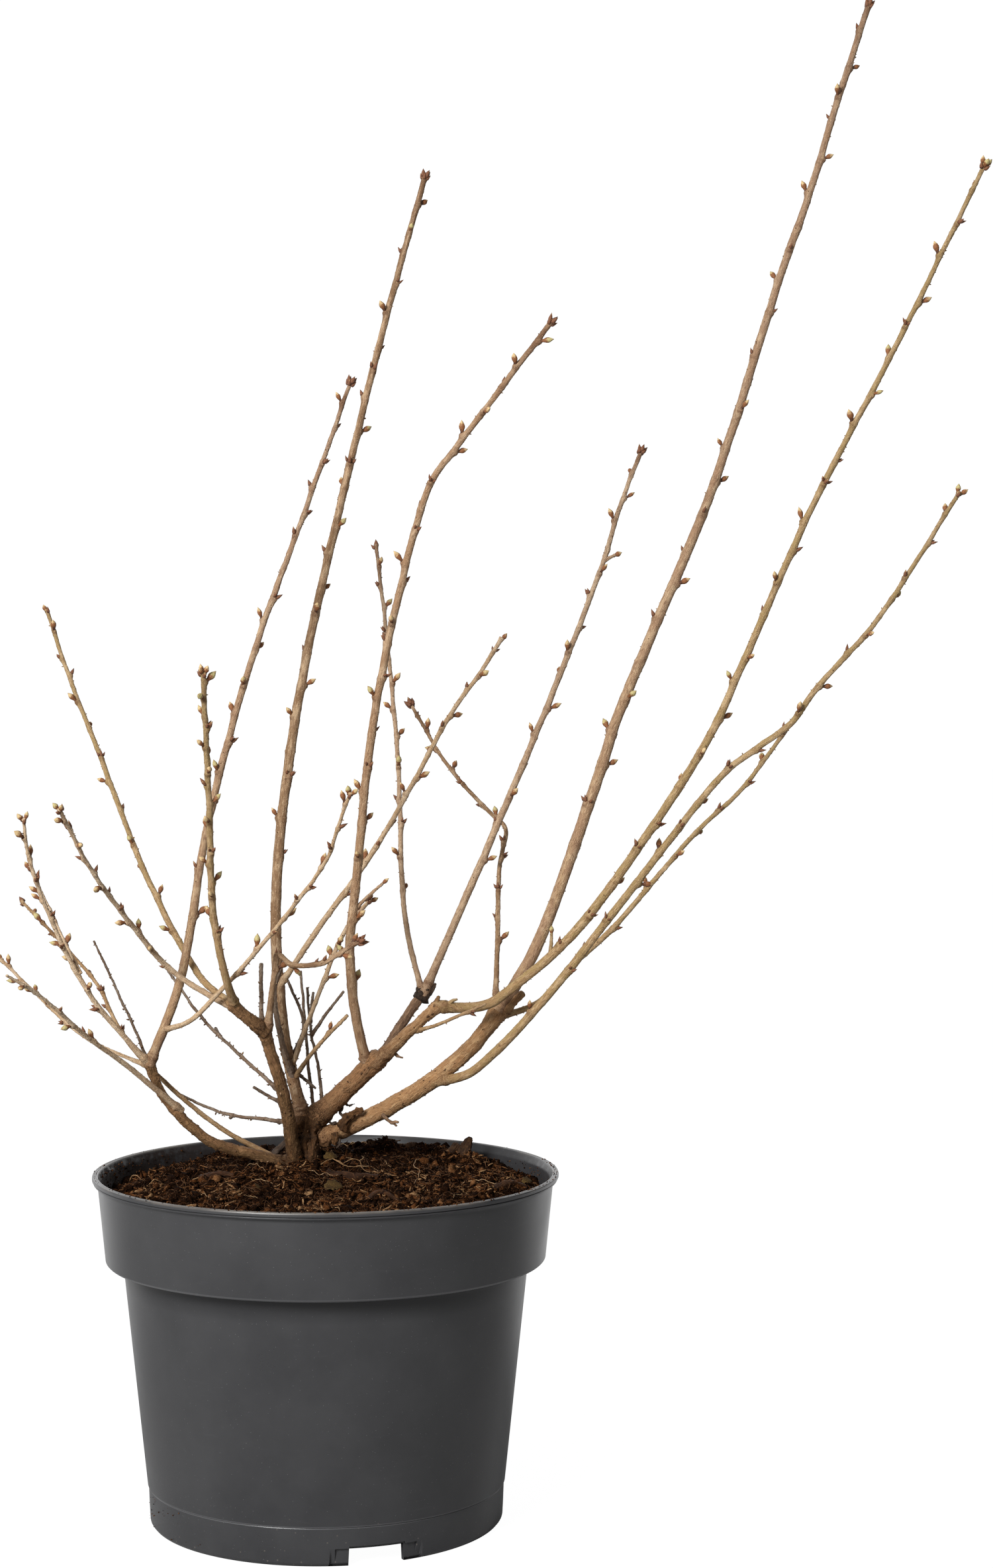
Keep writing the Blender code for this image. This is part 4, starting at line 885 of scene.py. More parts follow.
def new_group(name, inputs, outputs):
    """A shader node group with sockets given as name: (kind, value)."""
    tree = bpy.data.node_groups.new(name, "ShaderNodeTree")
    for socket_name, (kind, value) in inputs.items():
        socket = tree.interface.new_socket(socket_name, in_out="INPUT", socket_type=kind)
        if value is not None:
            socket.default_value = value
    for socket_name, kind in outputs.items():
        tree.interface.new_socket(socket_name, in_out="OUTPUT", socket_type=kind)
    entry = tree.nodes.new("NodeGroupInput")
    ending = tree.nodes.new("NodeGroupOutput")
    return tree, entry, ending


def new_material(name, roughness=0.8, shine=0.3):
    material = bpy.data.materials.new(name)
    material.use_nodes = True
    shader = material.node_tree.nodes["Principled BSDF"]
    shader.inputs["Roughness"].default_value = roughness
    shader.inputs["Specular IOR Level"].default_value = shine
    return material, material.node_tree, shader


def add_bump(tree, shader, height, strength, distance):
    bump = add_node(tree, "ShaderNodeBump", Strength=strength, Distance=distance, Height=height)
    tree.links.new(bump.outputs[0], shader.inputs["Normal"])


COLOUR_SOCKET = ("NodeSocketColor", (0.3, 0.2, 0.1, 1.0))
NUMBER_SOCKET = ("NodeSocketFloat", 0.5)
LENTICEL = (0.62, 0.43, 0.27)


def build_bark_group():
    """Bark colour and fine height. Long bands bring in the tint, thin long streaks the pale and the deep
    colour, and small spots the lenticels. Low tone, and the marks with their painted shade, turn to the deep
    colour, high tone to the pale."""
    tree, entry, ending = new_group("bark_pattern", {
        "Place": ("NodeSocketVector", None), "Tone": NUMBER_SOCKET, "Mark": NUMBER_SOCKET,
        "Age": NUMBER_SOCKET, "Pale": COLOUR_SOCKET, "Main": COLOUR_SOCKET, "Deep": COLOUR_SOCKET,
        "Tint": COLOUR_SOCKET, "Young": COLOUR_SOCKET, "Dots": NUMBER_SOCKET,
    }, {"Color": "NodeSocketColor", "Roughness": "NodeSocketFloat", "Height": "NodeSocketFloat"})
    place = entry.outputs["Place"]
    bands = noise(tree, scaled_place(tree, place, (1.0, 1.0, 0.07)), 520.0, 2.0)
    streaks = noise(tree, scaled_place(tree, place, (1.0, 1.0, 0.11)), 1700.0)
    lines = noise(tree, scaled_place(tree, place, (1.0, 1.0, 0.12)), 3200.0)
    patches = noise(tree, scaled_place(tree, place, (1.0, 1.0, 0.5)), 300.0)
    fine = noise(tree, place, 2600.0)
    dots = add_node(tree, "ShaderNodeTexVoronoi", {"feature": "F1"}, Vector=place, Scale=520.0)
    main = mix_colours(tree, entry.outputs["Age"], entry.outputs["Main"], entry.outputs["Young"])
    banded = mix_colours(tree, spread_out(tree, bands, 0.44, 0.58, 0.0, 0.9), main, entry.outputs["Tint"])
    streaky = spread_out(tree, streaks, 0.50, 0.64, 0.0, 0.6)
    streaked = mix_colours(tree, streaky, banded, entry.outputs["Pale"])
    lined = mix_colours(tree, spread_out(tree, lines, 0.50, 0.64, 0.0, 0.8), streaked, entry.outputs["Deep"])
    patchy = mix_colours(tree, spread_out(tree, patches, 0.50, 0.62, 0.0, 0.7), lined, entry.outputs["Tint"])
    patchy = mix_colours(tree, spread_out(tree, patches, 0.47, 0.36, 0.0, 0.5), patchy, entry.outputs["Pale"])
    grooved = mix_colours(tree, spread_out(tree, entry.outputs["Tone"], 0.40, 0.05, 0.0, 0.85), patchy,
                          entry.outputs["Deep"])
    raised = mix_colours(tree, spread_out(tree, entry.outputs["Tone"], 0.66, 1.0, 0.0, 0.6), grooved,
                         entry.outputs["Pale"])
    broken = maths(tree, "MULTIPLY", entry.outputs["Mark"], spread_out(tree, fine, 0.40, 0.58, 0.5, 1.05))
    speckled = maths(tree, "MAXIMUM", broken, spread_out(tree, fine, 0.55, 0.70, 0.0, 0.5))
    marked = mix_colours(tree, speckled, raised, entry.outputs["Deep"])
    dot = maths(tree, "MULTIPLY", spread_out(tree, dots.outputs[0], 0.24, 0.12), entry.outputs["Dots"])
    dot = maths(tree, "MULTIPLY", dot, spread_out(tree, patches, 0.44, 0.54))
    tree.links.new(mix_colours(tree, dot, marked, LENTICEL), ending.inputs["Color"])
    tree.links.new(spread_out(tree, streaks, 0.3, 0.7, 0.50, 0.78), ending.inputs["Roughness"])
    height = maths(tree, "ADD", maths(tree, "MULTIPLY", streaks, 1.0), maths(tree, "MULTIPLY", fine, 1.3))
    height = maths(tree, "SUBTRACT", height, maths(tree, "MULTIPLY", lines, 0.8))
    height = maths(tree, "ADD", height, maths(tree, "MULTIPLY", dot, 0.8))
    tree.links.new(height, ending.inputs["Height"])
    return tree


def bark_material(name, bark, group):
    material, tree, shader = new_material(name + "_bark", shine=0.16)
    pattern = add_node(tree, "ShaderNodeGroup", {"node_tree": group})
    values = {"Place": "grain_place", "Tone": "tone", "Mark": "mark", "Age": "young"}
    for socket, value_name in values.items():
        reader = add_node(tree, "ShaderNodeAttribute", {"attribute_name": value_name})
        output = reader.outputs["Vector"] if socket == "Place" else reader.outputs["Fac"]
        tree.links.new(output, pattern.inputs[socket])
    for socket, value in (("Pale", bark.pale), ("Main", bark.main), ("Deep", bark.deep), ("Tint", bark.tint),
                          ("Young", bark.young)):
        pattern.inputs[socket].default_value = (*value, 1.0)
    pattern.inputs["Dots"].default_value = bark.dots
    tree.links.new(pattern.outputs["Color"], shader.inputs["Base Color"])
    tree.links.new(pattern.outputs["Roughness"], shader.inputs["Roughness"])
    add_bump(tree, shader, pattern.outputs["Height"], 0.9, 0.0004)
    return material


def build_bud_group():
    """Bud scales: from the foot up a dark neck, brown scales and a pale top, with ragged edges between them
    that noise moves, and a second colour for some of the tops."""
    tree, entry, ending = new_group("bud_scales", {
        "Rise": NUMBER_SOCKET, "Hue": NUMBER_SOCKET, "Neck": COLOUR_SOCKET, "Scales": COLOUR_SOCKET,
        "Top": COLOUR_SOCKET, "Other Top": COLOUR_SOCKET, "Edge": NUMBER_SOCKET,
    }, {"Color": "NodeSocketColor", "Height": "NodeSocketFloat"})
    spot = tree.nodes.new("ShaderNodeTexCoord").outputs["Object"]
    ragged = noise(tree, spot, 1100.0, 3.0)
    fine = noise(tree, spot, 3200.0)
    rise = maths(tree, "ADD", entry.outputs["Rise"], spread_out(tree, ragged, 0.3, 0.7, -0.13, 0.13))
    rise = maths(tree, "ADD", rise, spread_out(tree, entry.outputs["Hue"], 0.0, 1.0, -0.16, 0.10))
    above_neck = spread_out(tree, rise, 0.12, 0.30)
    neck = mix_colours(tree, above_neck, entry.outputs["Neck"], entry.outputs["Scales"])
    top = mix_colours(tree, spread_out(tree, entry.outputs["Hue"], 0.66, 0.72), entry.outputs["Top"],
                      entry.outputs["Other Top"])
    edge = entry.outputs["Edge"]
    share = spread_out(tree, rise, edge, maths(tree, "ADD", edge, 0.16))
    whole = mix_colours(tree, share, neck, top)
    tipped = mix_colours(tree, spread_out(tree, rise, 0.90, 1.04, 0.0, 0.6), whole, entry.outputs["Scales"])
    grained = mix_colours(tree, spread_out(tree, fine, 0.52, 0.72, 0.0, 0.45), tipped, entry.outputs["Neck"])
    tree.links.new(grained, ending.inputs["Color"])
    tree.links.new(maths(tree, "ADD", ragged, fine), ending.inputs["Height"])
    return tree


def bud_material(name, colours, edge, group):
    material, tree, shader = new_material(name, 0.55, 0.25)
    pattern = add_node(tree, "ShaderNodeGroup", {"node_tree": group})
    for socket, value_name in (("Rise", "rise"), ("Hue", "hue")):
        reader = add_node(tree, "ShaderNodeAttribute", {"attribute_name": value_name})
        tree.links.new(reader.outputs["Fac"], pattern.inputs[socket])
    for socket, value in zip(("Neck", "Scales", "Top", "Other Top"), colours):
        pattern.inputs[socket].default_value = (*value, 1.0)
    pattern.inputs["Edge"].default_value = edge
    tree.links.new(pattern.outputs["Color"], shader.inputs["Base Color"])
    add_bump(tree, shader, pattern.outputs["Height"], 0.6, 0.0003)
    return material


def build_speckle_group():
    """A plain colour broken up: two noises in object space mix the colour with a darker and a lighter one."""
    tree, entry, ending = new_group("speckled_colour", {
        "Colour": COLOUR_SOCKET, "Darker": COLOUR_SOCKET, "Lighter": COLOUR_SOCKET,
        "Coarse": ("NodeSocketFloat", 200.0), "Fine": ("NodeSocketFloat", 1500.0),
    }, {"Color": "NodeSocketColor", "Height": "NodeSocketFloat"})
    spot = tree.nodes.new("ShaderNodeTexCoord").outputs["Object"]
    coarse = noise(tree, spot, entry.outputs["Coarse"])
    fine = noise(tree, spot, entry.outputs["Fine"], 5.0)
    first = mix_colours(tree, spread_out(tree, coarse, 0.4, 0.62), entry.outputs["Darker"],
                        entry.outputs["Colour"])
    second = mix_colours(tree, spread_out(tree, fine, 0.5, 0.72), first, entry.outputs["Lighter"])
    tree.links.new(second, ending.inputs["Color"])
    tree.links.new(fine, ending.inputs["Height"])
    return tree


def speckled_material(name, colours, group, coarse=200.0, fine=1500.0, roughness=0.85, bump_height=0.0003,
                      shine=0.15):
    """A material from its colour, a darker and a lighter one, and the sizes of its coarse and fine spots."""
    material, tree, shader = new_material(name, roughness, shine)
    pattern = add_node(tree, "ShaderNodeGroup", {"node_tree": group})
    for socket, value in zip(("Colour", "Darker", "Lighter"), colours):
        pattern.inputs[socket].default_value = (*value, 1.0)
    pattern.inputs["Coarse"].default_value = coarse
    pattern.inputs["Fine"].default_value = fine
    tree.links.new(pattern.outputs["Color"], shader.inputs["Base Color"])
    add_bump(tree, shader, pattern.outputs["Height"], 0.6, bump_height)
    return material


def turn_matrices(direction, spin):
    """Matrices that bring +Z to each direction, after a spin round +Z."""
    heading = unit(direction)
    helper = np.where(np.abs(heading[:, 2:]) > 0.9, [[1.0, 0.0, 0.0]], [[0.0, 0.0, 1.0]])
    across = unit(np.cross(helper, heading))
    other = np.cross(heading, across)
    cos = np.cos(spin)[:, None]
    sin = np.sin(spin)[:, None]
    return np.stack([across * cos + other * sin, other * cos - across * sin, heading], axis=2)


def set_out(shape, places, matrices, sizes):
    """The shape's points (one shape, or one for each place), sized, turned and put at each place."""
    sized = (shape if shape.ndim == 3 else shape[None]) * sizes[:, None, :]
    return (np.einsum("nij,npj->npi", matrices, sized) + places[:, None]).reshape(-1, 3)


def lathe_shape(heights, radii, columns):
    """A small turned shape with a pole at each end: rings of the given radii at the given heights."""
    turns = np.linspace(0.0, FULL_TURN, columns, endpoint=False)
    rings = np.stack([np.outer(radii[1:-1], np.cos(turns)), np.outer(radii[1:-1], np.sin(turns)),
                      np.repeat(np.array(heights[1:-1])[:, None], columns, axis=1)], axis=-1)
    poles = np.array([[0.0, 0.0, heights[0]], [0.0, 0.0, heights[-1]]])
    return np.vstack([rings.reshape(-1, 3), poles]), closed_faces(len(heights) - 2, columns)


PLUMP_HEIGHTS = (0.0, 0.05, 0.20, 0.33, 0.46, 0.59, 0.74, 0.89, 1.0)
PLUMP_RADII = (0.0, 0.34, 0.27, 0.36, 0.48, 0.50, 0.38, 0.16, 0.0)
POINTED_HEIGHTS = (0.0, 0.12, 0.36, 0.64, 1.0)
POINTED_RADII = (0.0, 0.46, 0.50, 0.32, 0.0)
NUB_HEIGHTS = (0.0, 0.30, 0.72, 1.0)
NUB_RADII = (0.0, 0.50, 0.33, 0.0)


class Growths:
    """Collects the places, directions, lengths and widths of one kind of small growth, and makes its
    piece."""

    def __init__(self):
        self.rows = []

    def add(self, place, direction, length, width):
        self.rows.append((*place, *direction, length, width))

    def build(self, name, looks, heights, radii, columns, slot="shoot_bark"):
        """One turned shape at every place, each a little flattened, with its rise and a steady hue."""
        chance = np.random.default_rng(name_seed(name))
        table = np.array(self.rows)
        count = len(table)
        shape, faces = lathe_shape(heights, radii, columns)
        rise = np.clip(shape[:, 2], 0.0, 1.0)
        twice_round = np.cos(2.0 * np.arctan2(shape[:, 1], shape[:, 0]))
        uneven = 1.0 + np.outer(chance.uniform(-0.12, 0.12, count), twice_round)
        shapes = shape[None] * np.stack([uneven, uneven, np.ones_like(uneven)], axis=-1)
        sizes = np.stack([table[:, 7], table[:, 7] * chance.uniform(0.8, 1.0, count), table[:, 6]], axis=1)
        turned = turn_matrices(table[:, 3:6], chance.uniform(0.0, FULL_TURN, count))
        points = set_out(shapes, table[:, :3], turned, sizes)
        values = {"rise": np.tile(rise, count), "hue": np.repeat(chance.random(count), len(shape))}
        tints = np.repeat(chance.integers(0, len(looks), count), len(faces))
        add_piece(name, points, many_faces(faces, count, len(shape)), looks, values,
                  material_of_face=tints)


def leaning(heading, side, degrees):
    lean = math.radians(degrees)
    return heading * math.cos(lean) + side * math.sin(lean)


def add_side_buds(limb, route, plump, pointed, chance):
    """The side buds. A plump one stands alone; a pointed one often has a smaller one on one side or both."""
    for bud in route.buds:
        radius = limb_radius(limb, bud.distance, route.whole)
        place, heading, side = route.spot(bud.distance, bud.turn)
        if bud.plump:
            length, width = np.array(PLUMP_BUD) * bud.size
            direction = leaning(heading, side, PLUMP_LEAN + chance.uniform(-9.0, 9.0))
            plump.add(place + side * radius * BUD_SEAT, direction, length, width)
            continue
        for number, turn in enumerate((0.0, 0.9, -0.9)):
            if number and chance.random() > 0.55:
                continue
            length, width = np.array(POINTED_BUD) * bud.size * (1.0 - 0.22 * (number > 0))
            place, heading, side = route.spot(bud.distance + 0.3 * number, bud.turn + turn)
            direction = leaning(heading, side, POINTED_LEAN + chance.uniform(-8.0, 12.0))
            pointed.add(place + side * radius * 0.8, direction, length, width)


def add_tip_buds(limb, route, plump, pointed):
    """A cluster at the tip, as on the solids: plump buds on straw and green shoots, and pointed ones, with
    one more between, on the others. Small pointed buds stand round its foot."""
    is_plump = limb.bark in PALE_BARKS
    count = limb.tip_buds + (limb.tip_buds > 1 and not is_plump)
    length, width = TIP_BUD if is_plump else POINTED_TIP_BUD
    lean = TIP_BUD_LEAN if limb.tip_buds > 1 else LONE_TIP_BUD_LEAN
    for i in range(count):
        turn = math.radians(limb.turn) + FULL_TURN * i / count
        place, heading, side = route.spot(route.whole - TIP_BUD_DEPTH, turn)
        (plump if is_plump else pointed).add(place + side * 0.5, leaning(heading, side, lean), length, width)
        place, heading, side = route.spot(route.whole - 2.4, turn + math.pi / max(count, 2))
        pointed.add(place + side * 0.7, leaning(heading, side, 34.0), 3.6, 2.0)


def spur_limbs(limb, route):
    """The limb's short spurs, as limbs of their own with a bud at the tip unless the limb is dead."""
    spurs = []
    for number, (share, length, turn) in enumerate(limb.spurs):
        place, heading, side = route.spot(share * route.whole, math.radians(turn))
        end = place + leaning(heading, side, SPUR_LEAN) * length
        way = (tuple(place), tuple((place + end) / 2.0 + heading * 0.4), tuple(end))
        spurs.append(Limb(f"{limb.name}_spur_{number}", SPUR_THICK, way, limb.bark))
    return spurs


def add_nubs(limb, bark, route, nubs, chance):
    """Short pointed nubs, the stumps of fallen buds and side twigs, strewn along the limb."""
    for _ in range(int(route.whole * bark.nubs / 10.0)):
        distance = chance.uniform(0.0, route.whole)
        place, heading, side = route.spot(distance, chance.uniform(0.0, FULL_TURN))
        shortest, longest = bark.nub_length
        length = shortest + (longest - shortest) * chance.random() ** 2.0
        radius = limb_radius(limb, distance, route.whole)
        nubs.add(place + side * (radius - 0.15), leaning(heading, side, chance.uniform(35.0, 85.0)),
                 length + 0.15, 0.35 + length * chance.uniform(0.25, 0.45))


def build_limbs(looks):
    """One skin for each limb with its spurs, and one piece for each kind of bud and nub."""
    routes = {limb.name: Route(limb, BARKS[limb.bark].wander) for limb in LIMBS}
    plump, pointed, wood_nubs, shoot_nubs = Growths(), Growths(), Growths(), Growths()
    for limb in LIMBS:
        bark = BARKS[limb.bark]
        route = routes[limb.name]
        chance = np.random.default_rng(name_seed(limb.name) + 5)
        joints = joint_spots(limb, route, LIMBS)
        if bark.knuckle and not limb.tip_buds:
            joints.append((route.whole - 2.0, 0.0, 4.0, ALL_ROUND, bark.knuckle * limb.thick[1] / 2.0))
        low_darkening = 0.25 if limb.bark == "crown" else 0.75
        shapes = [limb_skin(limb, bark, route, joints, reach_inside(limb, route, LIMBS, routes), low_darkening)]
        for spur in spur_limbs(limb, route):
            spur_route = Route(spur, 0.1)
            shapes.append(limb_skin(spur, bark, spur_route))
            if limb.bark != "dead":
                place, heading, _ = spur_route.spot(spur_route.whole - SPUR_BUD_DEPTH, 0.0)
                plump.add(place, heading, *TIP_BUD)
        points, faces, values = join_shapes(shapes)
        add_piece(limb.name + "_skin", points, faces, [looks[limb.bark]],
                  values, (limb.name,))
        add_side_buds(limb, route, plump, pointed, chance)
        add_tip_buds(limb, route, plump, pointed)
        add_nubs(limb, bark, route, wood_nubs if limb.bark in SLOTS else shoot_nubs, chance)
    plump.build("plump_buds", [looks["plump_bud"]], PLUMP_HEIGHTS, PLUMP_RADII, 8)
    pointed.build("pointed_buds", [looks["pointed_bud"]], POINTED_HEIGHTS, POINTED_RADII, 6)
    wood_nubs.build("old_nubs", looks["old_nubs"], NUB_HEIGHTS, NUB_RADII, 5, "bough_bark")
    shoot_nubs.build("shoot_nubs", looks["shoot_nubs"], NUB_HEIGHTS, NUB_RADII, 5)
    build_flakes(looks, routes)
    build_small_wood(looks)


FLAKED_LIMBS = (("root_crown", 9.0, 0.0, 1.0, 0.45, 1.0), ("front_bough", 0.6, 0.0, 0.7, 0.2, 0.6),
                ("middle_bough", 1.4, 0.05, 1.0, 0.15, 0.6), ("right_bough", 0.6, 0.1, 0.93, 0.05, 0.5),
                ("right_bough", 1.5, 0.93, 1.0, 0.1, 0.9), ("left_bough", 0.8, 0.0, 0.4, 0.3, 0.6),
                ("tan_branch", 1.5, 0.8, 1.0, 0.1, 0.8), ("dark_branch", 2.5, 0.86, 1.0, 0.8, 1.0),
                ("front_arm", 0.8, 0.0, 1.0, 0.3, 0.5), ("centre_tall_shoot", 2.5, 0.02, 0.08, 0.1, 0.8),
                ("kinked_centre_shoot", 2.0, 0.01, 0.035, 0.2, 0.8))
FLAKE_COLUMNS = 6


def build_flakes(looks, routes):
    """Loose scales of bark on the old wood: bent six-cornered plates with uneven edges, which lie along the
    limb and lift at one end. Rows of FLAKED_LIMBS give a limb, scales for each millimetre, and from where to
    where as shares of its length, the share of dark ones, and their size. Crumbs of peat cling to the
    crown."""
    chance = np.random.default_rng(83)
    turns = np.arange(FLAKE_COLUMNS) * FULL_TURN / FLAKE_COLUMNS
    edge = np.stack([np.cos(turns), np.sin(turns), np.zeros(FLAKE_COLUMNS)], axis=1)
    plate = np.vstack([edge * 0.85 - (0, 0, 0.5), edge + (0, 0, 0.5), [[0, 0, -0.5], [0, 0, 0.6]]])
    limbs = {limb.name: limb for limb in LIMBS}
    places, matrices, sizes, tints = [], [], [], []
    for name, density, first, last, dark, size in FLAKED_LIMBS:
        route = routes[name]
        for _ in range(int(route.whole * (last - first) * density)):
            distance = route.whole * chance.uniform(first, last)
            place, heading, side = route.spot(distance, chance.uniform(0.0, FULL_TURN))
            across = np.cross(side, heading)
            lift = math.radians(chance.normal(0.0, 16.0))
            skew = math.radians(chance.normal(0.0, 22.0))
            along = heading * math.cos(skew) + across * math.sin(skew)
            along = along * math.cos(lift) + side * math.sin(lift)
            out = unit(side - along * (side @ along))
            radius = limb_radius(limbs[name], distance, route.whole)
            places.append(place + side * (radius + chance.uniform(-0.1, 0.4)))
            matrices.append(np.stack([along, np.cross(out, along), out], axis=1))
            sizes.append(size * chance.uniform((0.6, 0.3, 0.2), (2.0, 0.9, 0.5)))
            tints.append(chance.choice(3, p=(dark, 0.75 * (1.0 - dark), 0.25 * (1.0 - dark))))
    uneven = plate[None] * chance.uniform(0.6, 1.2, (len(places), len(plate), 1))
    points = set_out(uneven, np.array(places), np.array(matrices), np.array(sizes))
    faces = closed_faces(2, FLAKE_COLUMNS)
    add_piece("bark_flakes", points, many_faces(faces, len(places), len(plate)), looks["flakes"],
              material_of_face=np.repeat(tints, len(faces)), smooth=False)
    crown, route = limbs["root_crown"], routes["root_crown"]
    places = []
    for _ in range(CROWN_CRUMBS):
        distance = route.whole * (1.0 - chance.random() ** 0.7)
        place, _, side = route.spot(distance, chance.uniform(0.0, FULL_TURN))
        places.append(place + side * limb_radius(crown, distance, route.whole))
    add_crumbs("crown_crumbs", np.array(places), chance.uniform(0.25, 0.7, CROWN_CRUMBS), looks["crumbs"],
               (0.45, 0.45, 0.1), chance)


def build_small_wood(looks):
    """The listed small pieces of wood, joined, each with its own bark."""
    shapes, tints = [], []
    barks = sorted({limb.bark for limb in SMALL_WOOD})
    for limb in SMALL_WOOD:
        skin = limb_skin(limb, BARKS[limb.bark]._replace(sides=24), Route(limb, 0.3))
        shapes.append(skin)
        tints.append(np.full(len(skin[1]), barks.index(limb.bark)))
    points, faces, values = join_shapes(shapes)
    add_piece("small_wood", points, faces, [looks[bark] for bark in barks], values,
              material_of_face=np.concatenate(tints))


def rounded(corners, steps=4):
    """An outline with its corners rounded: each corner (radius, height, rounding) becomes a short curve
    between the points that lie `rounding` before and after it."""
    points = []
    places = np.array([corner[:2] for corner in corners], float)
    for i, (radius, height, rounding) in enumerate(corners):
        if rounding == 0.0:
            points.append([radius, height])
            continue
        before = places[i - 1] - places[i]
        after = places[i + 1] - places[i]
        start = places[i] + before * min(0.45, rounding / np.linalg.norm(before))
        end = places[i] + after * min(0.45, rounding / np.linalg.norm(after))
        for t in np.linspace(0.0, 1.0, steps + 1):
            points.append((1 - t) ** 2 * start + 2 * t * (1 - t) * places[i] + t**2 * end)
    return np.array(points, float)


RIM_RIDGES = 3
RIM_RIDGE_STEP = 0.95
RIM_GROOVE = 0.32


def rim_ridges():
    """Corners of the fine parallel ridges on top of the rim, from the outside in."""
    corners = []
    for i in range(RIM_RIDGES):
        outer = RIM_RADIUS - 0.25 - RIM_RIDGE_STEP * i
        corners += [(outer, POT_HEIGHT - 0.1, 0.1), (outer - 0.25, POT_HEIGHT, 0.1),
                    (outer - 0.5, POT_HEIGHT - 0.05, 0.1), (outer - 0.72, POT_HEIGHT - RIM_GROOVE, 0.1)]
    return tuple(corners)


def hole_rings():
    """Rings of points across the drain holes, on the underside of the floor, from the inside out."""
    reach = DRAIN_HOLE_RADIUS + 0.6
    return tuple((radius, FLOOR_UNDERSIDE, 0.0)
                 for radius in np.arange(DRAIN_HOLE_CIRCLE - reach, DRAIN_HOLE_CIRCLE + reach, 0.6))


def pot_outline():
    """From the middle of the underside out under the foot, up the outer side, over the rim and down
    inside."""
    lip = POT_HEIGHT - LIP_HEIGHT
    return rounded((
        (0.0, 0.0, 0.0),
        (PAD_RADIUS, 0.0, 0.6),
        (PAD_RADIUS + 1.0, FLOOR_UNDERSIDE, 0.6),
        *hole_rings(),
        (FOOT_RADIUS - FOOT_RING_WIDTH, FLOOR_UNDERSIDE, 0.6),
        (FOOT_RADIUS - FOOT_RING_WIDTH, 0.0, 0.3),
        (FOOT_RADIUS - 1.2, 0.0, 0.3),
        (FOOT_RADIUS, 1.4, 0.6),
        (FOOT_RADIUS + 0.35, NOTCH_HEIGHT - 0.1, 0.0),
        (FOOT_RADIUS + 0.36, NOTCH_HEIGHT + 0.1, 0.0),
        (BODY_FOOT_RADIUS - 0.5, FOOT_BAND - 0.7, 0.15),
        (BODY_FOOT_RADIUS - 0.75, FOOT_BAND - 0.35, 0.1),
        (BODY_FOOT_RADIUS, FOOT_BAND, 0.25),
        (BODY_TOP_RADIUS - 0.4, COLLAR_FOOT - 8.0, 0.0),
        (BODY_TOP_RADIUS, COLLAR_FOOT - 3.4, 1.0),
        (BODY_TOP_RADIUS + 0.6, COLLAR_FOOT - 1.2, 0.6),
        (COLLAR_FOOT_RADIUS - 0.9, COLLAR_FOOT, 0.3),
        (COLLAR_FOOT_RADIUS, COLLAR_FOOT + 0.9, 0.4),
        (COLLAR_TOP_RADIUS, lip - 1.2, 0.8),
        (COLLAR_TOP_RADIUS + 0.7, lip - 0.1, 0.3),
        (RIM_RADIUS - 0.7, lip + 0.1, 0.3),
        (RIM_RADIUS - 0.4, lip + 0.9, 0.2),
        (RIM_RADIUS - 0.9, lip + 1.2, 0.15),
        (RIM_RADIUS, lip + 1.5, 0.2),
        (RIM_RADIUS, POT_HEIGHT - 0.6, 0.3),
        *rim_ridges(),
        (RIM_RADIUS - RIM_WIDTH - 1.4, lip, 0.8),
        (COLLAR_FOOT_RADIUS - WALL, INNER_LEDGE + 3.2, 0.6),
        (BODY_TOP_RADIUS - WALL, INNER_LEDGE, 0.6),
        (BODY_FOOT_RADIUS - WALL + 0.2, FLOOR + 2.0, 0.6),
        (BODY_FOOT_RADIUS - WALL - 1.6, FLOOR, 0.6),
        (0.0, FLOOR, 0.0),
    ))


def drain_hole_turns():
    """The turns of the drain holes, in degrees, from the pot's right side."""
    return 360.0 * (np.arange(DRAIN_HOLES) + 0.25) / DRAIN_HOLES


def pot_turns():
    """Turns round the pot from its front, in degrees: even steps, and fine ones at the notches' edges and
    across the drain holes."""
    turns = [np.arange(0.0, 360.0, POT_TURN_STEP)]
    edges = np.concatenate([np.arange(RECESS_HALF_ANGLES[1] - 0.4, RECESS_HALF_ANGLES[0] + 0.6, 0.3),
                            OPENING_HALF_ANGLE + NOTCH_EDGE * np.array([-1.0, -0.5, 0.0, 0.5, 1.0])])
    for heading in NOTCH_HEADINGS:
        turns += [(heading + edges) % 360.0, (heading - edges) % 360.0]
    for heading in drain_hole_turns() + 90.0:
        turns.append((heading + np.arange(-5.4, 5.5, 0.6)) % 360.0)
    return np.unique(np.round(np.concatenate(turns), 3))


def notch_window(turn, heading, half_angle, edge):
    """One inside the notch and nought outside, with a steep straight edge."""
    away = np.abs((turn - heading + 180.0) % 360.0 - 180.0)
    return np.clip((half_angle - away) / edge + 0.5, 0.0, 1.0)


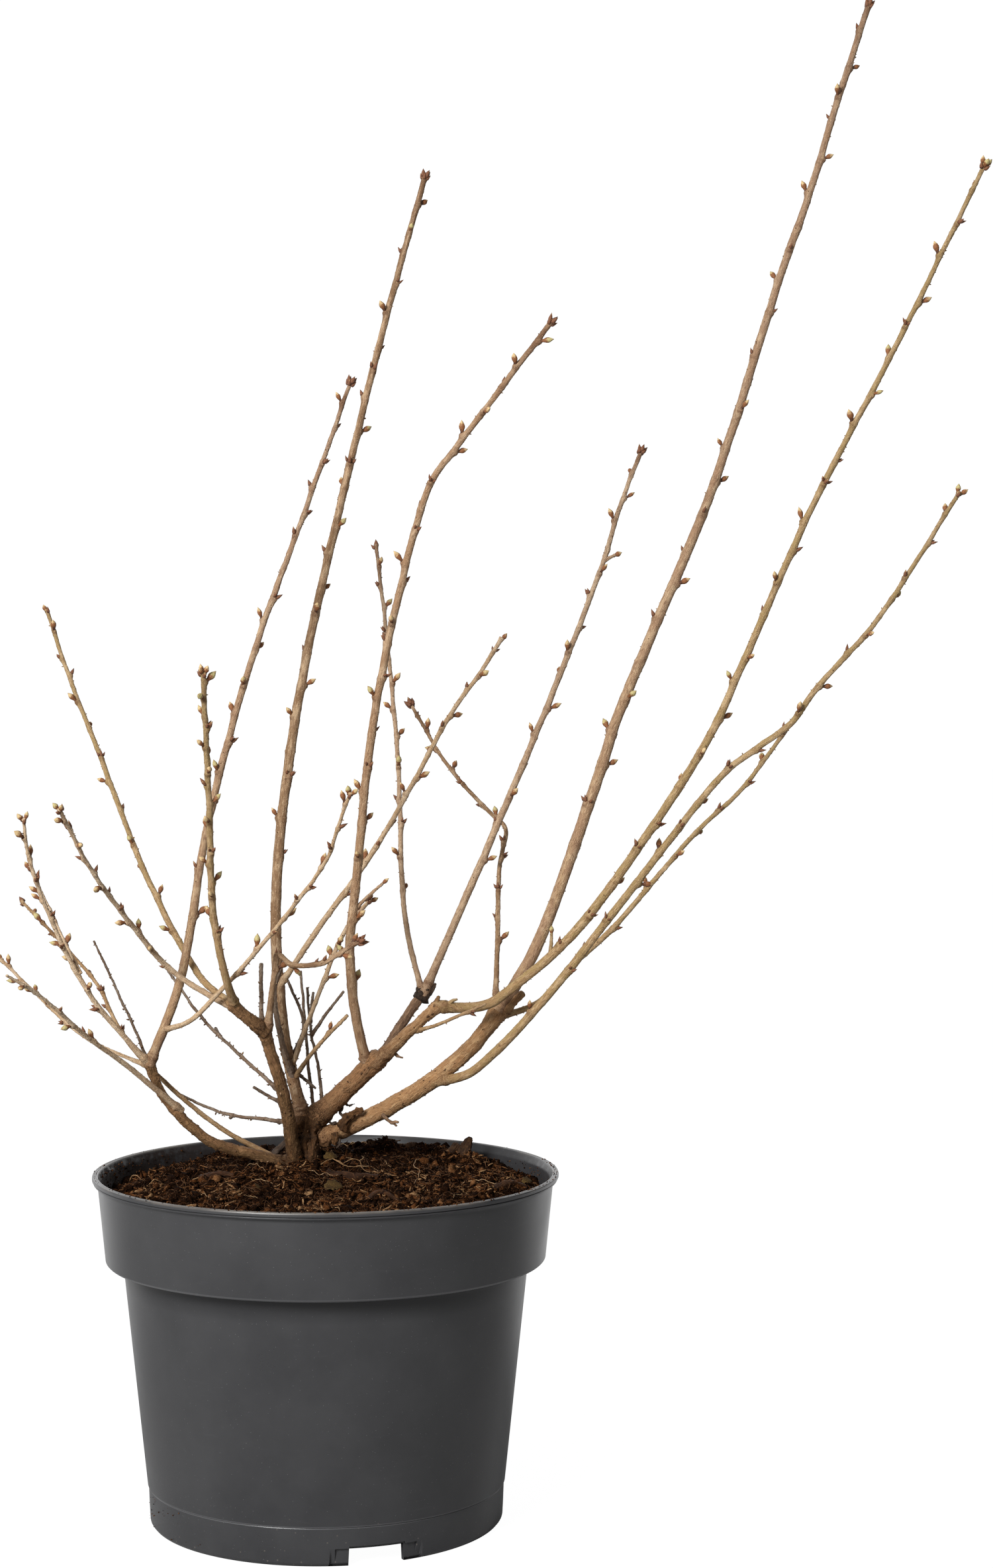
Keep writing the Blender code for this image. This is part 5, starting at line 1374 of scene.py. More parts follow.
def build_pot(looks):
    """The pot's outline turned round the Z axis. In a notch the foot ring's points move up, and the wall
    round it moves in, each by a window that is one inside the notch and nought outside. In a drain hole the
    underside's points move up almost to the peat."""
    outline = pot_outline()
    turn = pot_turns()
    radius = np.repeat(outline[1:-1, :1], len(turn), axis=1)
    height = np.repeat(outline[1:-1, 1:], len(turn), axis=1)
    wall = (radius > FOOT_RADIUS - 1.25) & (height < NOTCH_HEIGHT) & (height > 0.0)
    ring = (radius > FOOT_RADIUS - FOOT_RING_WIDTH - 1.0) & (height < FLOOR_UNDERSIDE)
    under = (np.arange(len(radius)) < 40)[:, None] & (np.abs(height - FLOOR_UNDERSIDE) < 0.01)
    for heading in NOTCH_HEADINGS:
        rise = np.clip(height / NOTCH_HEIGHT, 0.0, 1.0)
        half_angle = RECESS_HALF_ANGLES[0] + (RECESS_HALF_ANGLES[1] - RECESS_HALF_ANGLES[0]) * rise
        recess = notch_window(turn[None], heading, half_angle, NOTCH_EDGE)
        radius = np.where(wall, radius - RECESS_DEPTH * recess, radius)
        opening = notch_window(turn[None], heading, OPENING_HALF_ANGLE, NOTCH_EDGE)
        top = NOTCH_HEIGHT - OPENING_DROP
        raised = top + height * (FLOOR_UNDERSIDE - top) / FLOOR_UNDERSIDE
        height = np.where(ring, height + (raised - height) * opening, height)
    angle = np.radians(turn - 90.0)
    right = radius * np.cos(angle)
    back = radius * np.sin(angle)
    for heading in np.radians(drain_hole_turns()):
        away = np.hypot(right - DRAIN_HOLE_CIRCLE * math.cos(heading),
                        back - DRAIN_HOLE_CIRCLE * math.sin(heading))
        inside = np.clip((DRAIN_HOLE_RADIUS - away) / 0.3 + 0.5, 0.0, 1.0)
        height = np.where(under, height + inside * (FLOOR - 0.3 - FLOOR_UNDERSIDE), height)
    points = np.stack([right, back, height], axis=-1).reshape(-1, 3)
    poles = np.array([[0.0, 0.0, outline[0, 1]], [0.0, 0.0, outline[-1, 1]]])
    pot = add_piece("pot_shell", np.vstack([points, poles]), closed_faces(len(radius), len(turn)),
                    [looks["pot"]], replaced=("pot",))
    pot.data.set_sharp_from_angle(angle=math.radians(32.0))


def inner_wall(height):
    """The inner radius of the collar's wall at a height above the ledge."""
    rise = (height - INNER_LEDGE - 3.2) / (POT_HEIGHT - LIP_HEIGHT - INNER_LEDGE - 3.2)
    foot = COLLAR_FOOT_RADIUS - WALL
    return foot + (RIM_RADIUS - RIM_WIDTH - 1.4 - foot) * rise


def soil_height(right, back):
    """Height of the peat: level, lower along the pot's left and right wall, with a soft mound round the
    crown and low heaps at the back, slow lumps, two sizes of clods and fine noise."""
    radius = np.hypot(right, back)
    away = np.hypot(right - MOUND_MIDDLE[0], back - MOUND_MIDDLE[1])
    height = SOIL_LEVEL + MOUND_HEIGHT * np.exp(-((away / MOUND_SPREAD) ** 2))
    near_wall = np.clip(radius / COLLAR_TOP_RADIUS - SIDE_DROP_START, 0.0, None) / (1.0 - SIDE_DROP_START)
    height = height - SIDE_DROP * near_wall * np.abs(right) / np.maximum(radius, 1.0)
    for heap_right, heap_back, spread, rise in BACK_CLUMPS:
        height = height + rise * np.exp(-(((right - heap_right) ** 2 + (back - heap_back) ** 2) / spread**2))
    flat = np.stack([right, back, np.zeros_like(right)], axis=-1)
    warped = flat + 1.6 * np.stack([soft_noise(flat / 3.1, 51), soft_noise(flat / 3.1, 52),
                                    np.zeros_like(right)], axis=-1)
    height = height + 1.5 * rough_noise(flat / 13.0, 3, 2) + 6.0 * (clods(warped, 13.0, 61) - 0.7)
    return height + 2.8 * (clods(warped, 4.8, 71) - 0.6) + 0.8 * (clods(flat, 1.9, 81) - 0.6)


def build_soil_bed(looks):
    """A fine round bed of peat over the pot's filling: rings of points at the soil's height, which meet the
    pot's inner wall."""
    share = np.linspace(0.0, 1.0, SOIL_RINGS + 1)[1:]
    turn = np.linspace(0.0, FULL_TURN, SOIL_TURNS, endpoint=False)
    radius = SOIL_RADIUS * share[::-1, None] ** 0.75 + np.zeros((1, SOIL_TURNS))
    edge = inner_wall(soil_height(radius[0] * np.cos(turn), radius[0] * np.sin(turn))) - 0.15
    radius[0] = edge
    right = radius * np.cos(turn)
    back = radius * np.sin(turn)
    top = soil_height(right, back)
    inner_foot = BODY_FOOT_RADIUS - WALL - 2.2
    sides = [(inner_foot - 1.2, FLOOR + 0.4), (inner_foot, FLOOR + 2.6),
             (BODY_TOP_RADIUS - WALL - 0.8, INNER_LEDGE + 0.8),
             (COLLAR_FOOT_RADIUS - WALL - 0.8, INNER_LEDGE + 4.2)]
    lower = np.array([[(r * math.cos(t), r * math.sin(t), z) for t in turn] for r, z in sides])
    upper = np.stack([right, back, top], axis=-1)
    points = np.concatenate([lower, upper]).reshape(-1, 3)
    peak = soil_height(np.zeros(1), np.zeros(1))[0]
    points = np.vstack([points, [[0.0, 0.0, FLOOR + 0.4], [0.0, 0.0, peak]]])
    add_piece("peat_bed", points, closed_faces(len(sides) + SOIL_RINGS, SOIL_TURNS), [looks["peat"]],
              replaced=("soil",))


def peat_tints(right, back, shares, chance):
    """A colour number for each piece on the peat: by chance, but darker in patches, and darker towards the
    back as painted shade.
    """
    flat = np.stack([right, back, np.zeros_like(right)], axis=1)
    luck_and_shade = chance.random(len(right)) + 0.35 * rough_noise(flat / SHADE_PATCH, 13, 2)
    # Painted shade: darker colours towards the back of the pot.
    luck_and_shade -= np.clip(back / 400.0, 0.0, 0.2)
    return np.searchsorted(np.cumsum(shares)[:-1], luck_and_shade)


def scattered_places(chance, count, radius):
    """Places spread evenly over the peat's round top."""
    away = radius * np.sqrt(chance.random(count))
    turn = chance.uniform(0.0, FULL_TURN, count)
    return away * np.cos(turn), away * np.sin(turn)


def ball_shape():
    """A rough ball of twelve points and twenty faces: two poles and two rings of five."""
    turns = np.arange(5) * FULL_TURN / 5.0
    low = np.stack([0.894 * np.cos(turns), 0.894 * np.sin(turns), np.full(5, -0.447)], axis=1)
    turns = turns + math.pi / 5.0
    high = np.stack([0.894 * np.cos(turns), 0.894 * np.sin(turns), np.full(5, 0.447)], axis=1)
    return np.vstack([low, high, [[0.0, 0.0, -1.0], [0.0, 0.0, 1.0]]]), closed_faces(2, 5)


def add_crumbs(name, places, size, look_list, shares, chance):
    """Rough balls at the places, each with its own dents, length, turn and colour."""
    ball, faces = ball_shape()
    count = len(places)
    shapes = ball[None] * chance.uniform(0.35, 1.35, (count, len(ball), 1))
    matrices = turn_matrices(chance.normal(size=(count, 3)), chance.uniform(0.0, FULL_TURN, count))
    sizes = chance.uniform(0.5, 1.5, (count, 3)) * size[:, None]
    tints = np.repeat(peat_tints(places[:, 0], places[:, 1], shares, chance), len(faces))
    add_piece(name, set_out(shapes, places, matrices, sizes), many_faces(faces, count, len(ball)), look_list,
              material_of_face=tints, smooth=False)


def build_crumbs(looks):
    """Crumbs of peat half sunk in the bed, crumbs that cling to the inner wall, and dust on rim and foot."""
    chance = np.random.default_rng(17)
    for name, count, smallest, largest in CRUMBS:
        right, back = scattered_places(chance, count, SOIL_RADIUS - 2.0)
        size = smallest + (largest - smallest) * chance.random(count) ** 2.2
        height = soil_height(right, back) + size * chance.uniform(-0.2, 0.7, count)
        places = np.stack([right, back, height], axis=1)
        add_crumbs(name, places, size, looks["crumbs"], (0.5, 0.4, 0.1), chance)
    places, sizes = [], []
    for count, middle, spread, low, high, size in WALL_CRUMBS:
        turn = np.radians(chance.normal(middle, spread, count))
        height = low + (high - low) * chance.random(count) ** 1.6
        radius = inner_wall(height) - 0.1
        places.append(np.stack([radius * np.cos(turn), radius * np.sin(turn), height], axis=1))
        sizes.append(chance.uniform(0.2, size, count))
    for count, middle, spread in RIM_CRUMBS:
        turn = np.radians(chance.normal(middle, spread, count))
        radius = chance.uniform(RIM_RADIUS - 2.6, RIM_RADIUS - 0.3, count)
        height = np.full(count, POT_HEIGHT)
        places.append(np.stack([radius * np.cos(turn), radius * np.sin(turn), height], axis=1))
        sizes.append(chance.uniform(0.12, 0.5, count))
    turn = np.radians(chance.normal(FOOT_CRUMBS[1], FOOT_CRUMBS[2], FOOT_CRUMBS[0]))
    height = chance.uniform(0.6, FOOT_BAND - 1.0, FOOT_CRUMBS[0])
    radius = FOOT_RADIUS + 0.35 + 0.6 * height / FOOT_BAND
    places.append(np.stack([radius * np.cos(turn), radius * np.sin(turn), height], axis=1))
    sizes.append(chance.uniform(0.12, 0.4, FOOT_CRUMBS[0]))
    add_crumbs("clinging_crumbs", np.vstack(places), np.concatenate(sizes), looks["crumbs"],
               (0.35, 0.4, 0.25), chance)


def strand_rings(line, across, width, thick, sides):
    """Rings of points round each line: an ellipse of half width and half thickness, tapered to both ends."""
    slope = unit(np.gradient(line, axis=1) + 1e-9)
    across = unit(across - slope * (across * slope).sum(axis=2, keepdims=True))
    up = np.cross(across, slope)
    turns = np.linspace(0.0, FULL_TURN, sides, endpoint=False)
    side = (across[:, :, None] * np.cos(turns)[None, None, :, None] * width[:, :, None, None]
            + up[:, :, None] * np.sin(turns)[None, None, :, None] * thick[:, :, None, None])
    poles = np.stack([line[:, 0] - slope[:, 0] * 0.1, line[:, -1] + slope[:, -1] * 0.1], axis=1)
    count, rings = line.shape[:2]
    points = np.concatenate([(line[:, :, None] + side).reshape(count, -1, 3), poles], axis=1)
    return points.reshape(-1, 3), many_faces(closed_faces(rings, sides), count, rings * sides + 2)


def build_shreds(looks):
    """Flat shreds of bark and peat: four-sided strips with ragged widths, a slight bend and a random tilt,
    most lying on the bed and some standing in it."""
    chance = np.random.default_rng(37)
    rings = 4
    right, back = scattered_places(chance, SHREDS, SOIL_RADIUS - 3.0)
    length = 1.6 + 6.5 * chance.random(SHREDS) ** 2.2
    turn = chance.uniform(0.0, FULL_TURN, SHREDS)
    standing = (chance.random(SHREDS) < 0.04) & (length < 4.0)
    tilt = np.where(standing, chance.uniform(0.4, 1.0, SHREDS), chance.normal(0.0, 0.26, SHREDS))
    along = np.stack([np.cos(turn) * np.cos(tilt), np.sin(turn) * np.cos(tilt), np.sin(tilt)], axis=1)
    level = np.stack([-np.sin(turn), np.cos(turn), np.zeros(SHREDS)], axis=1)
    over = np.cross(along, level)
    roll = chance.normal(0.0, 0.6, SHREDS)[:, None]
    across = level * np.cos(roll) + over * np.sin(roll)
    u = np.linspace(-0.5, 0.5, rings)
    bend = chance.normal(0.0, 0.10, (SHREDS, 1, 1)) * length[:, None, None] * (4.0 * u[None, :, None] ** 2)
    centre = np.stack([right, back, soil_height(right, back) + np.where(standing, 0.3 * length, 0.3)], axis=1)
    line = centre[:, None] + along[:, None] * (u[None, :, None] * length[:, None, None])
    line = line + bend * np.cross(along, across)[:, None]
    inside = np.minimum(1.0, (SOIL_RADIUS - 1.5) / np.hypot(line[..., 0], line[..., 1]))
    line[..., :2] *= inside[..., None]
    taper = np.array([0.35, 1.0, 0.9, 0.3])[None] * chance.uniform(0.6, 1.25, (SHREDS, rings))
    width = (chance.uniform(0.25, 1.0, SHREDS) * (0.6 + length / 14.0))[:, None] * taper
    thick = chance.uniform(0.12, 0.35, SHREDS)[:, None] * np.ones((1, rings))
    points, faces = strand_rings(line, np.repeat(across[:, None], rings, axis=1), width, thick, 4)
    per_shred = len(faces) // SHREDS
    tints = np.repeat(peat_tints(right, back, (0.44, 0.34, 0.17, 0.05), chance), per_shred)
    add_piece("peat_shreds", points, faces, looks["shreds"], material_of_face=tints, smooth=False)


def walking_lines(start, heading, length, bend, lift, rings, chance):
    """Lines that wander over the peat: a walk whose heading turns by a smooth random amount, with a bow."""
    count = len(start)
    angle = heading[:, None] + np.cumsum(chance.normal(0.0, bend, (count, rings)), axis=1)
    step = (length / (rings - 1))[:, None]
    right = start[:, :1] + np.cumsum(np.cos(angle) * step, axis=1)
    back = start[:, 1:] + np.cumsum(np.sin(angle) * step, axis=1)
    inside = np.minimum(1.0, (SOIL_RADIUS - 2.0) / np.maximum(np.hypot(right, back), 1.0))
    right = right * inside
    back = back * inside
    u = np.linspace(0.0, 1.0, rings)[None]
    bow = lift[:, None] * np.sin(math.pi * u) * (0.3 + u)
    return np.stack([right, back, soil_height(right, back) + bow + 0.2], axis=-1)


def build_fibres(looks):
    """Fine fibres and pale curly roots that lie on the peat, in bows."""
    chance = np.random.default_rng(23)
    for name, count, look, lengths, thicks, bend, rise, rings in (
            ("peat_fibres", 3200, "fibre", (2.0, 8.0), (0.12, 0.34), 0.45, 0.7, 7),
            ("pale_roots", 36, "root_fibre", (8.0, 26.0), (0.18, 0.36), 0.34, 1.6, 16)):
        right, back = scattered_places(chance, count, SOIL_RADIUS - 6.0)
        lift = np.abs(chance.normal(0.0, rise, count))
        line = walking_lines(np.stack([right, back], axis=1), chance.uniform(0.0, FULL_TURN, count),
                             chance.uniform(*lengths, count), bend, lift, rings, chance)
        u = np.linspace(0.03, 0.97, rings)[None]
        half = (chance.uniform(*thicks, count) / 2.0)[:, None] * (0.35 + 0.65 * np.sin(math.pi * u) ** 0.5)
        level = np.cross(np.gradient(line, axis=1), np.array([0.0, 0.0, 1.0])) + 1e-6
        points, faces = strand_rings(line, level, half, half, 3)
        add_piece(name, points, faces, [looks[look]])


LEAF_BITS = ((95.0, 2.0, 40.0, 6.0, 2.0), (1.0, -34.0, 20.0, 9.0, 3.4), (0.0, 26.0, 170.0, 9.0, 3.6),
             (-2.0, 14.0, 20.0, 7.0, 2.6),
             (-30.0, -38.0, 100.0, 4.5, 1.6))


def build_leaf_bits(looks):
    """Torn bits of old leaf: thin strands, as wide as a leaf, with a bow along them. Each row of LEAF_BITS is
    right, behind, turn, length and half width."""
    right, back, turn, length, half = np.array(LEAF_BITS).T
    u = np.linspace(0.0, 1.0, 15)
    angle = np.radians(turn)[:, None]
    x = right[:, None] + np.cos(angle) * u * length[:, None]
    y = back[:, None] + np.sin(angle) * u * length[:, None]
    arched = soil_height(x, y).mean(axis=1)[:, None] + 2.2 + 1.2 * np.sin(math.pi * u)
    line = np.stack([x, y, arched], axis=-1)
    across = np.stack([-np.sin(angle), np.cos(angle), 0.7 + 0.0 * angle], axis=-1) + 0.0 * line
    width = half[:, None] * (0.12 + np.sin(math.pi * u) ** 0.6 * (0.95 + 0.22 * np.sin(21.0 * u + angle)))
    points, faces = strand_rings(line, across, width, np.full(width.shape, 0.15), 8)
    add_piece("leaf_bits", points, faces, [looks["leaf"]])


def build_chips(looks):
    """Flat flakes of bark on the peat: eight-cornered slabs with uneven corners."""
    chance = np.random.default_rng(31)
    turns = np.arange(8) * math.pi / 4.0
    outline = np.stack([np.cos(turns), np.sin(turns)], axis=1)
    low = np.column_stack([outline * 0.9, np.full(8, -0.5)])
    high = np.column_stack([outline, np.full(8, 0.5)])
    slab = np.vstack([low, high, [[0.0, 0.0, -0.5], [0.0, 0.0, 0.5]]])
    right, back = scattered_places(chance, CHIPS, SOIL_RADIUS - 6.0)
    sizes = np.stack([chance.uniform(1.2, 5.0, CHIPS), chance.uniform(0.8, 2.4, CHIPS),
                      chance.uniform(0.4, 1.3, CHIPS)], axis=1)
    shapes = slab[None] * chance.uniform(0.65, 1.2, (CHIPS, len(slab), 1))
    direction = np.array([[0.0, 0.0, 1.0]]) + chance.normal(0.0, 0.5, (CHIPS, 3))
    matrices = turn_matrices(direction, chance.uniform(0.0, FULL_TURN, CHIPS))
    places = np.stack([right, back, soil_height(right, back) + 0.5], axis=1)
    faces = closed_faces(2, 8)
    tints = np.repeat(peat_tints(right, back, (0.5, 0.38, 0.10, 0.02), chance), len(faces))
    add_piece("bark_chips", set_out(shapes, places, matrices, sizes), many_faces(faces, CHIPS, len(slab)),
              looks["shreds"], material_of_face=tints, smooth=False)


def build_loose_pieces(looks):
    """The listed larger pieces on the peat, joined, each laid at its height above the peat."""
    shapes, tints = [], []
    barks = sorted({piece.bark for piece in LOOSE_PIECES})
    for piece in LOOSE_PIECES:
        way = []
        for right, back, above in piece.way:
            ground = float(soil_height(np.array(float(right)), np.array(float(back))))
            way.append((right, back, ground + above))
        laid = piece._replace(way=tuple(way))
        shapes.append(limb_skin(laid, BARKS[piece.bark], Route(laid, BARKS[piece.bark].wander)))
        tints.append(np.full(len(shapes[-1][1]), barks.index(piece.bark)))
    points, faces, values = join_shapes(shapes)
    add_piece("loose_pieces", points, faces, [looks[bark] for bark in barks], values,
              material_of_face=np.concatenate(tints))


def build_looks():
    """Every material, by the name that the builders ask for."""
    bark_group = build_bark_group()
    bud_group = build_bud_group()
    speckle = build_speckle_group()
    looks = {name: bark_material(name, bark, bark_group) for name, bark in BARKS.items()}
    looks["plump_bud"] = bud_material("plump_bud", PLUMP_BUD_COLOURS, 0.55, bud_group)
    looks["pointed_bud"] = bud_material("pointed_bud", POINTED_BUD_COLOURS, 0.78, bud_group)
    dark = ((0.05, 0.025, 0.012), (0.018, 0.009, 0.005), (0.11, 0.06, 0.03))
    brown = ((0.15, 0.078, 0.038), (0.07, 0.034, 0.017), (0.27, 0.16, 0.09))
    tan = ((0.30, 0.18, 0.095), (0.16, 0.086, 0.042), (0.48, 0.33, 0.20))
    straw = ((0.36, 0.22, 0.115), (0.22, 0.12, 0.058), (0.52, 0.36, 0.22))
    for name, kinds in (("old_nubs", (brown, tan)), ("shoot_nubs", (tan, straw)),
                        ("flakes", (dark, brown, tan))):
        looks[name] = [speckled_material(f"{name}_{i}", colours, speckle, 500.0, 2600.0)
                       for i, colours in enumerate(kinds)]
    looks["peat"] = speckled_material("peat_ground", PEAT_COLOURS[0], speckle, 260.0, 1300.0,
                                      1.0, 0.0007, 0.03)
    for name, kinds in (("crumbs", PEAT_COLOURS[:3]), ("shreds", PEAT_COLOURS)):
        looks[name] = [speckled_material(f"{name}_{i}", colours, speckle, 300.0, 1800.0, 1.0, shine=0.04)
                       for i, colours in enumerate(kinds)]
    looks["fibre"] = speckled_material("peat_fibre", ((0.11, 0.050, 0.021), (0.05, 0.021, 0.009),
                                                      (0.24, 0.13, 0.065)), speckle, 60.0, 900.0)
    looks["root_fibre"] = speckled_material("root_fibre", ((0.48, 0.31, 0.16), (0.26, 0.15, 0.07),
                                                           (0.66, 0.48, 0.29)), speckle, 60.0, 900.0, 0.7)
    looks["leaf"] = speckled_material("old_leaf", ((0.060, 0.033, 0.009), (0.022, 0.011, 0.004),
                                                   (0.12, 0.078, 0.022)), speckle, 240.0, 1500.0)
    looks["pot"] = pot_material()
    looks["floor"] = floor_material()
    return looks


# Heights of the two edges that carry a pale line of painted highlight.
HIGHLIT_EDGES = (COLLAR_FOOT + 0.5, FOOT_BAND - 0.2)


def pot_material():
    """Satin dark grey plastic: a haze of dust that gathers on top and at the foot, specks, tiny pale motes,
    faint scuffs, a pale line of painted highlight along two edges, a band of painted shade under the collar,
    and a near-black coat on the inner wall, partly peat and partly painted shade, strongest at the left."""
    material, tree, shader = new_material("pot_plastic", 0.3, 0.5)
    spot = tree.nodes.new("ShaderNodeTexCoord").outputs["Object"]
    haze = noise(tree, spot, 24.0, 6.0)
    grain = noise(tree, spot, 2600.0, 3.0)
    scuffs = noise(tree, scaled_place(tree, spot, (1.0, 1.0, 9.0)), 45.0, 5.0)
    dust = add_node(tree, "ShaderNodeTexVoronoi", Vector=spot, Scale=230.0)
    axes = add_node(tree, "ShaderNodeSeparateXYZ", Vector=spot)
    height = axes.outputs["Z"]
    tinted = mix_colours(tree, spread_out(tree, haze, 0.35, 0.7), POT_COLOURS[0], POT_COLOURS[1])
    low = spread_out(tree, height, 0.03, 0.0, 0.10, 1.0)
    specks = maths(tree, "MULTIPLY", spread_out(tree, dust.outputs[0], 0.11, 0.05), low)
    dusty = mix_colours(tree, maths(tree, "MULTIPLY", specks, 0.5), tinted, (0.20, 0.17, 0.14))
    top = maths(tree, "MULTIPLY", spread_out(tree, height, 0.1672, 0.1680), spread_out(tree, haze, 0.45, 0.6))
    rimmed = mix_colours(tree, maths(tree, "MULTIPLY", top, 0.6), dusty, (0.15, 0.13, 0.11))
    # Painted highlight: a thin pale line along the collar's lower edge and along the top of the foot band.
    for edge in HIGHLIT_EDGES:
        away = maths(tree, "ABSOLUTE", maths(tree, "SUBTRACT", height, edge * MM))
        edge_highlight = spread_out(tree, away, 0.0008, 0.0004, 0.0, 0.45)
        rimmed = mix_colours(tree, edge_highlight, rimmed, (0.14, 0.14, 0.145))
    motes = add_node(tree, "ShaderNodeTexVoronoi", Vector=spot, Scale=420.0).outputs[0]
    rimmed = mix_colours(tree, spread_out(tree, motes, 0.085, 0.045, 0.0, 0.5), rimmed, (0.20, 0.20, 0.20))
    scuffed_and_shaded = mix_colours(tree, spread_out(tree, scuffs, 0.62, 0.80, 0.0, 0.12), rimmed, (0.10, 0.10, 0.102))
    # Painted shade: a near-black band on the body just under the collar's overhang, where its shadow falls.
    painted_shade_under_collar = maths(tree, "MULTIPLY", spread_out(tree, height, 0.114, 0.1255, 0.0, 1.0),
                      spread_out(tree, height, 0.1262, 0.1256))
    scuffed_and_shaded = mix_colours(tree, painted_shade_under_collar, scuffed_and_shaded, (0.006, 0.006, 0.007))
    from_axis = add_node(tree, "ShaderNodeVectorMath", {"operation": "LENGTH"})
    plug(tree, from_axis.inputs[0], scaled_place(tree, spot, (1.0, 1.0, 0.0)))
    depth = maths(tree, "SUBTRACT", from_axis.outputs["Value"], maths(tree, "MULTIPLY", height, 0.1))
    inner = maths(tree, "MULTIPLY", spread_out(tree, depth, 0.0928, 0.0925),
                  spread_out(tree, height, 0.130, 0.135))
    # A near-black coat on the inner wall: partly peat that clings to it, partly painted shade, strongest at
    # the left.
    leftward = spread_out(tree, axes.outputs["X"], -0.04, -0.085, 0.15, 1.0)
    peat_and_shade_film = maths(tree, "MULTIPLY", maths(tree, "MULTIPLY", inner, leftward),
                 spread_out(tree, noise(tree, spot, 210.0, 6.0), 0.38, 0.52))
    filmed_and_shaded = mix_colours(tree, peat_and_shade_film, scuffed_and_shaded, PEAT_COLOURS[0][0])
    tree.links.new(filmed_and_shaded, shader.inputs["Base Color"])
    tree.links.new(maths(tree, "ADD", spread_out(tree, haze, 0.3, 0.7, 0.27, 0.37),
                         maths(tree, "MULTIPLY", peat_and_shade_film, 0.5)), shader.inputs["Roughness"])
    add_bump(tree, shader, grain, 0.15, 0.0001)
    return material


def floor_material():
    """Pale floor: bright and plain to the camera and, behind the plant, to the pot's gloss, and darker as a
    source of light from below."""
    material, tree, shader = new_material("studio_floor", 0.9, 0.1)
    shader.inputs["Base Color"].default_value = (FLOOR_GREY, FLOOR_GREY, FLOOR_GREY, 1.0)
    glow = add_node(tree, "ShaderNodeEmission", Color=(1.0, 1.0, 1.0, 1.0), Strength=1.15)
    rays = tree.nodes.new("ShaderNodeLightPath")
    spot = tree.nodes.new("ShaderNodeTexCoord").outputs["Object"]
    behind = spread_out(tree, add_node(tree, "ShaderNodeSeparateXYZ", Vector=spot).outputs["Y"], 0.15, 0.6)
    mirrored = maths(tree, "MULTIPLY", rays.outputs["Is Glossy Ray"], behind)
    seen = maths(tree, "MAXIMUM", rays.outputs["Is Camera Ray"], mirrored)
    share = maths(tree, "MULTIPLY", seen, FLOOR_GLOW)
    both = tree.nodes.new("ShaderNodeMixShader")
    tree.links.new(share, both.inputs[0])
    tree.links.new(shader.outputs[0], both.inputs[1])
    tree.links.new(glow.outputs[0], both.inputs[2])
    tree.links.new(both.outputs[0], tree.nodes["Material Output"].inputs["Surface"])
    return material


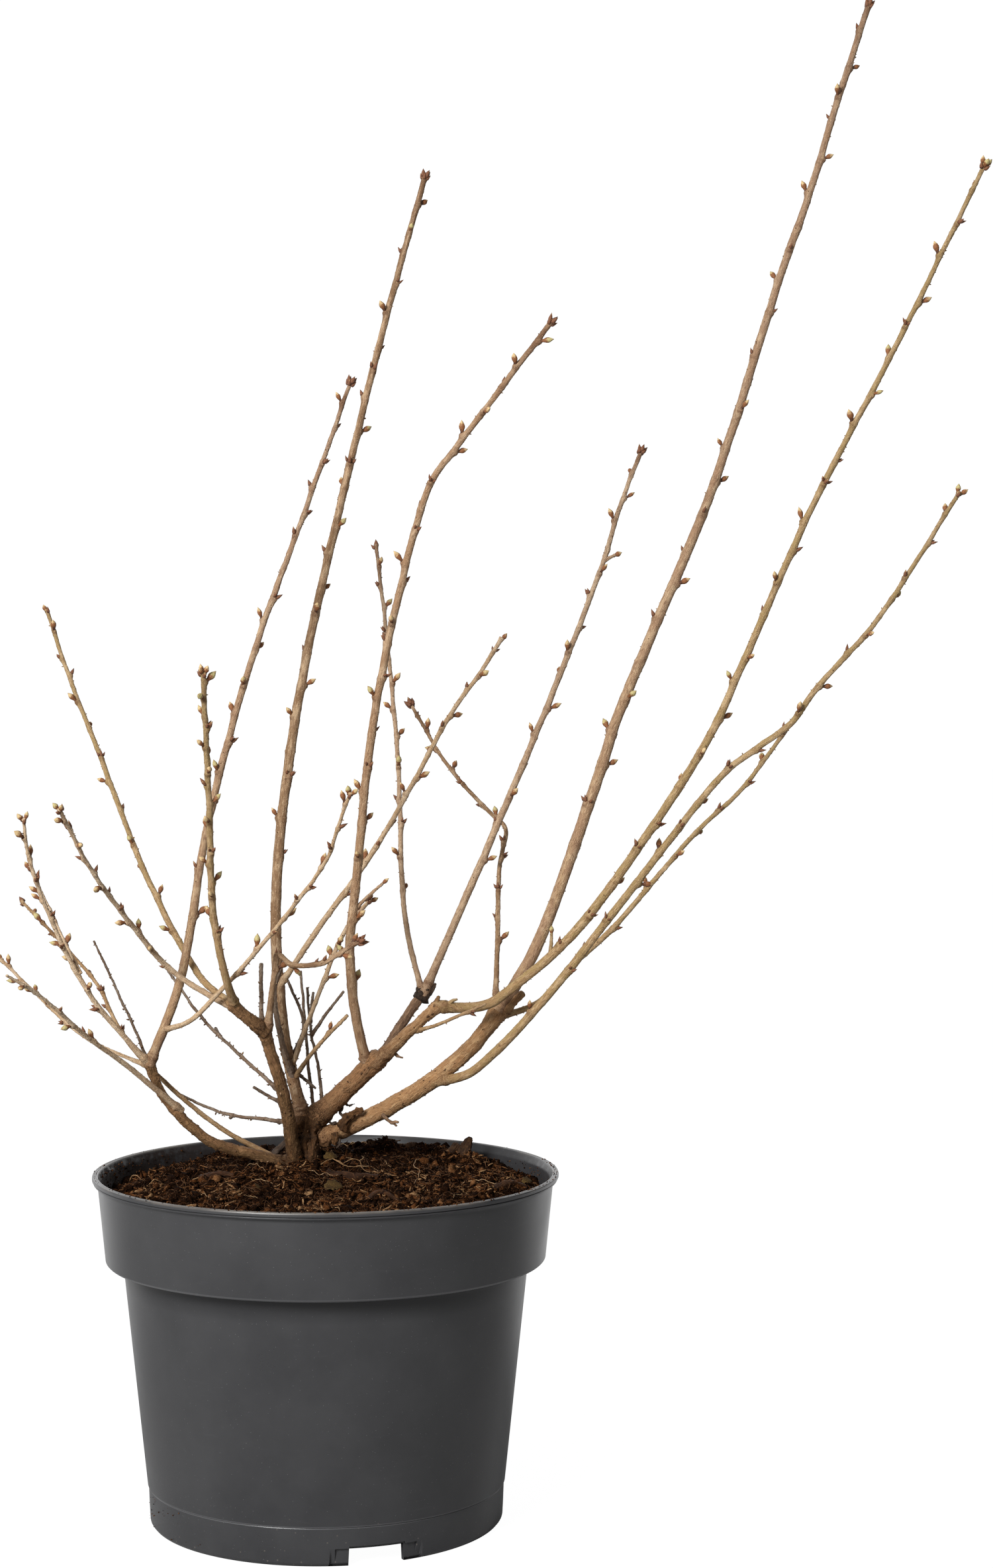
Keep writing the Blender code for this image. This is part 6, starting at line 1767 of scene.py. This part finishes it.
def build_world():
    """White behind the plant, and for the light a soft sky, brightest behind the plant and above, and less
    bright at the right."""
    world = bpy.data.worlds.new("studio")
    world.use_nodes = True
    tree = world.node_tree
    sky = tree.nodes["Background"]
    spot = tree.nodes.new("ShaderNodeTexCoord").outputs["Generated"]
    heading = add_node(tree, "ShaderNodeSeparateXYZ", Vector=spot)
    behind = spread_out(tree, heading.outputs["Y"], 0.45, 0.9, *SKY_FRONT_BACK)
    above = spread_out(tree, heading.outputs["Z"], -0.1, 0.9, *SKY_LOW_HIGH)
    rightward = spread_out(tree, heading.outputs["X"], 0.1, 0.8, *SKY_LEFT_RIGHT)
    strength = maths(tree, "MULTIPLY", maths(tree, "MULTIPLY", behind, above), rightward)
    plug(tree, sky.inputs["Strength"], strength)
    backdrop = add_node(tree, "ShaderNodeBackground", Color=(1.0, 1.0, 1.0, 1.0), Strength=1.04)
    sky.inputs["Color"].default_value = (1.0, 1.0, 1.0, 1.0)
    rays = tree.nodes.new("ShaderNodeLightPath")
    both = tree.nodes.new("ShaderNodeMixShader")
    tree.links.new(rays.outputs["Is Camera Ray"], both.inputs[0])
    tree.links.new(sky.outputs[0], both.inputs[1])
    tree.links.new(backdrop.outputs[0], both.inputs[2])
    tree.links.new(both.outputs[0], tree.nodes["World Output"].inputs["Surface"])
    bpy.context.scene.world = world


def build_stage(looks):
    """A plain pale floor, a soft white sky and two large soft lamps."""
    half = FLOOR_SIZE / 2.0
    mesh = bpy.data.meshes.new("studio_floor")
    corners = [(-half, -half), (half, -half), (half, half), (-half, half)]
    mesh.from_pydata([(right, back, FLOOR_HEIGHT) for right, back in corners], [], [(0, 1, 2, 3)])
    floor = bpy.data.objects.new("studio_floor", mesh)
    bpy.context.scene.collection.objects.link(floor)
    floor.data.materials.append(looks["floor"])
    build_world()
    for name, place, size, power in LAMPS:
        lamp = bpy.data.lights.new(name, "AREA")
        lamp.shape = "DISK"
        lamp.size = size
        lamp.energy = power
        holder = bpy.data.objects.new(name, lamp)
        bpy.context.scene.collection.objects.link(holder)
        holder.location = place
        aim = Vector((0.05, 0.0, 0.3)) - Vector(place)
        holder.rotation_euler = aim.to_track_quat("-Z", "Y").to_euler()


def build_camera():
    """The camera at the photograph's place: its focal length in pixels over the frame's long side."""
    lens = bpy.data.cameras.new("photo_camera")
    lens.sensor_width = SENSOR
    lens.sensor_fit = "AUTO"
    lens.lens = FOCAL_PIXELS * SENSOR / max(PHOTO_WIDTH, PHOTO_HEIGHT)
    lens.clip_start = 0.05
    camera = bpy.data.objects.new("photo_camera", lens)
    camera.location = CAMERA_PLACE
    camera.rotation_euler = (math.radians(90.0 - CAMERA_DOWN), 0.0, 0.0)
    bpy.context.scene.collection.objects.link(camera)
    bpy.context.scene.camera = camera


def write_sizes():
    """Brings the view layer up to date."""
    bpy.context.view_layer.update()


def main():
    bpy.context.scene.view_settings.view_transform = "Standard"
    looks = build_looks()
    build_camera()
    build_limbs(looks)
    build_pot(looks)
    build_soil_bed(looks)
    build_crumbs(looks)
    build_shreds(looks)
    build_fibres(looks)
    build_chips(looks)
    build_leaf_bits(looks)
    build_loose_pieces(looks)
    build_stage(looks)
    write_sizes()


main()
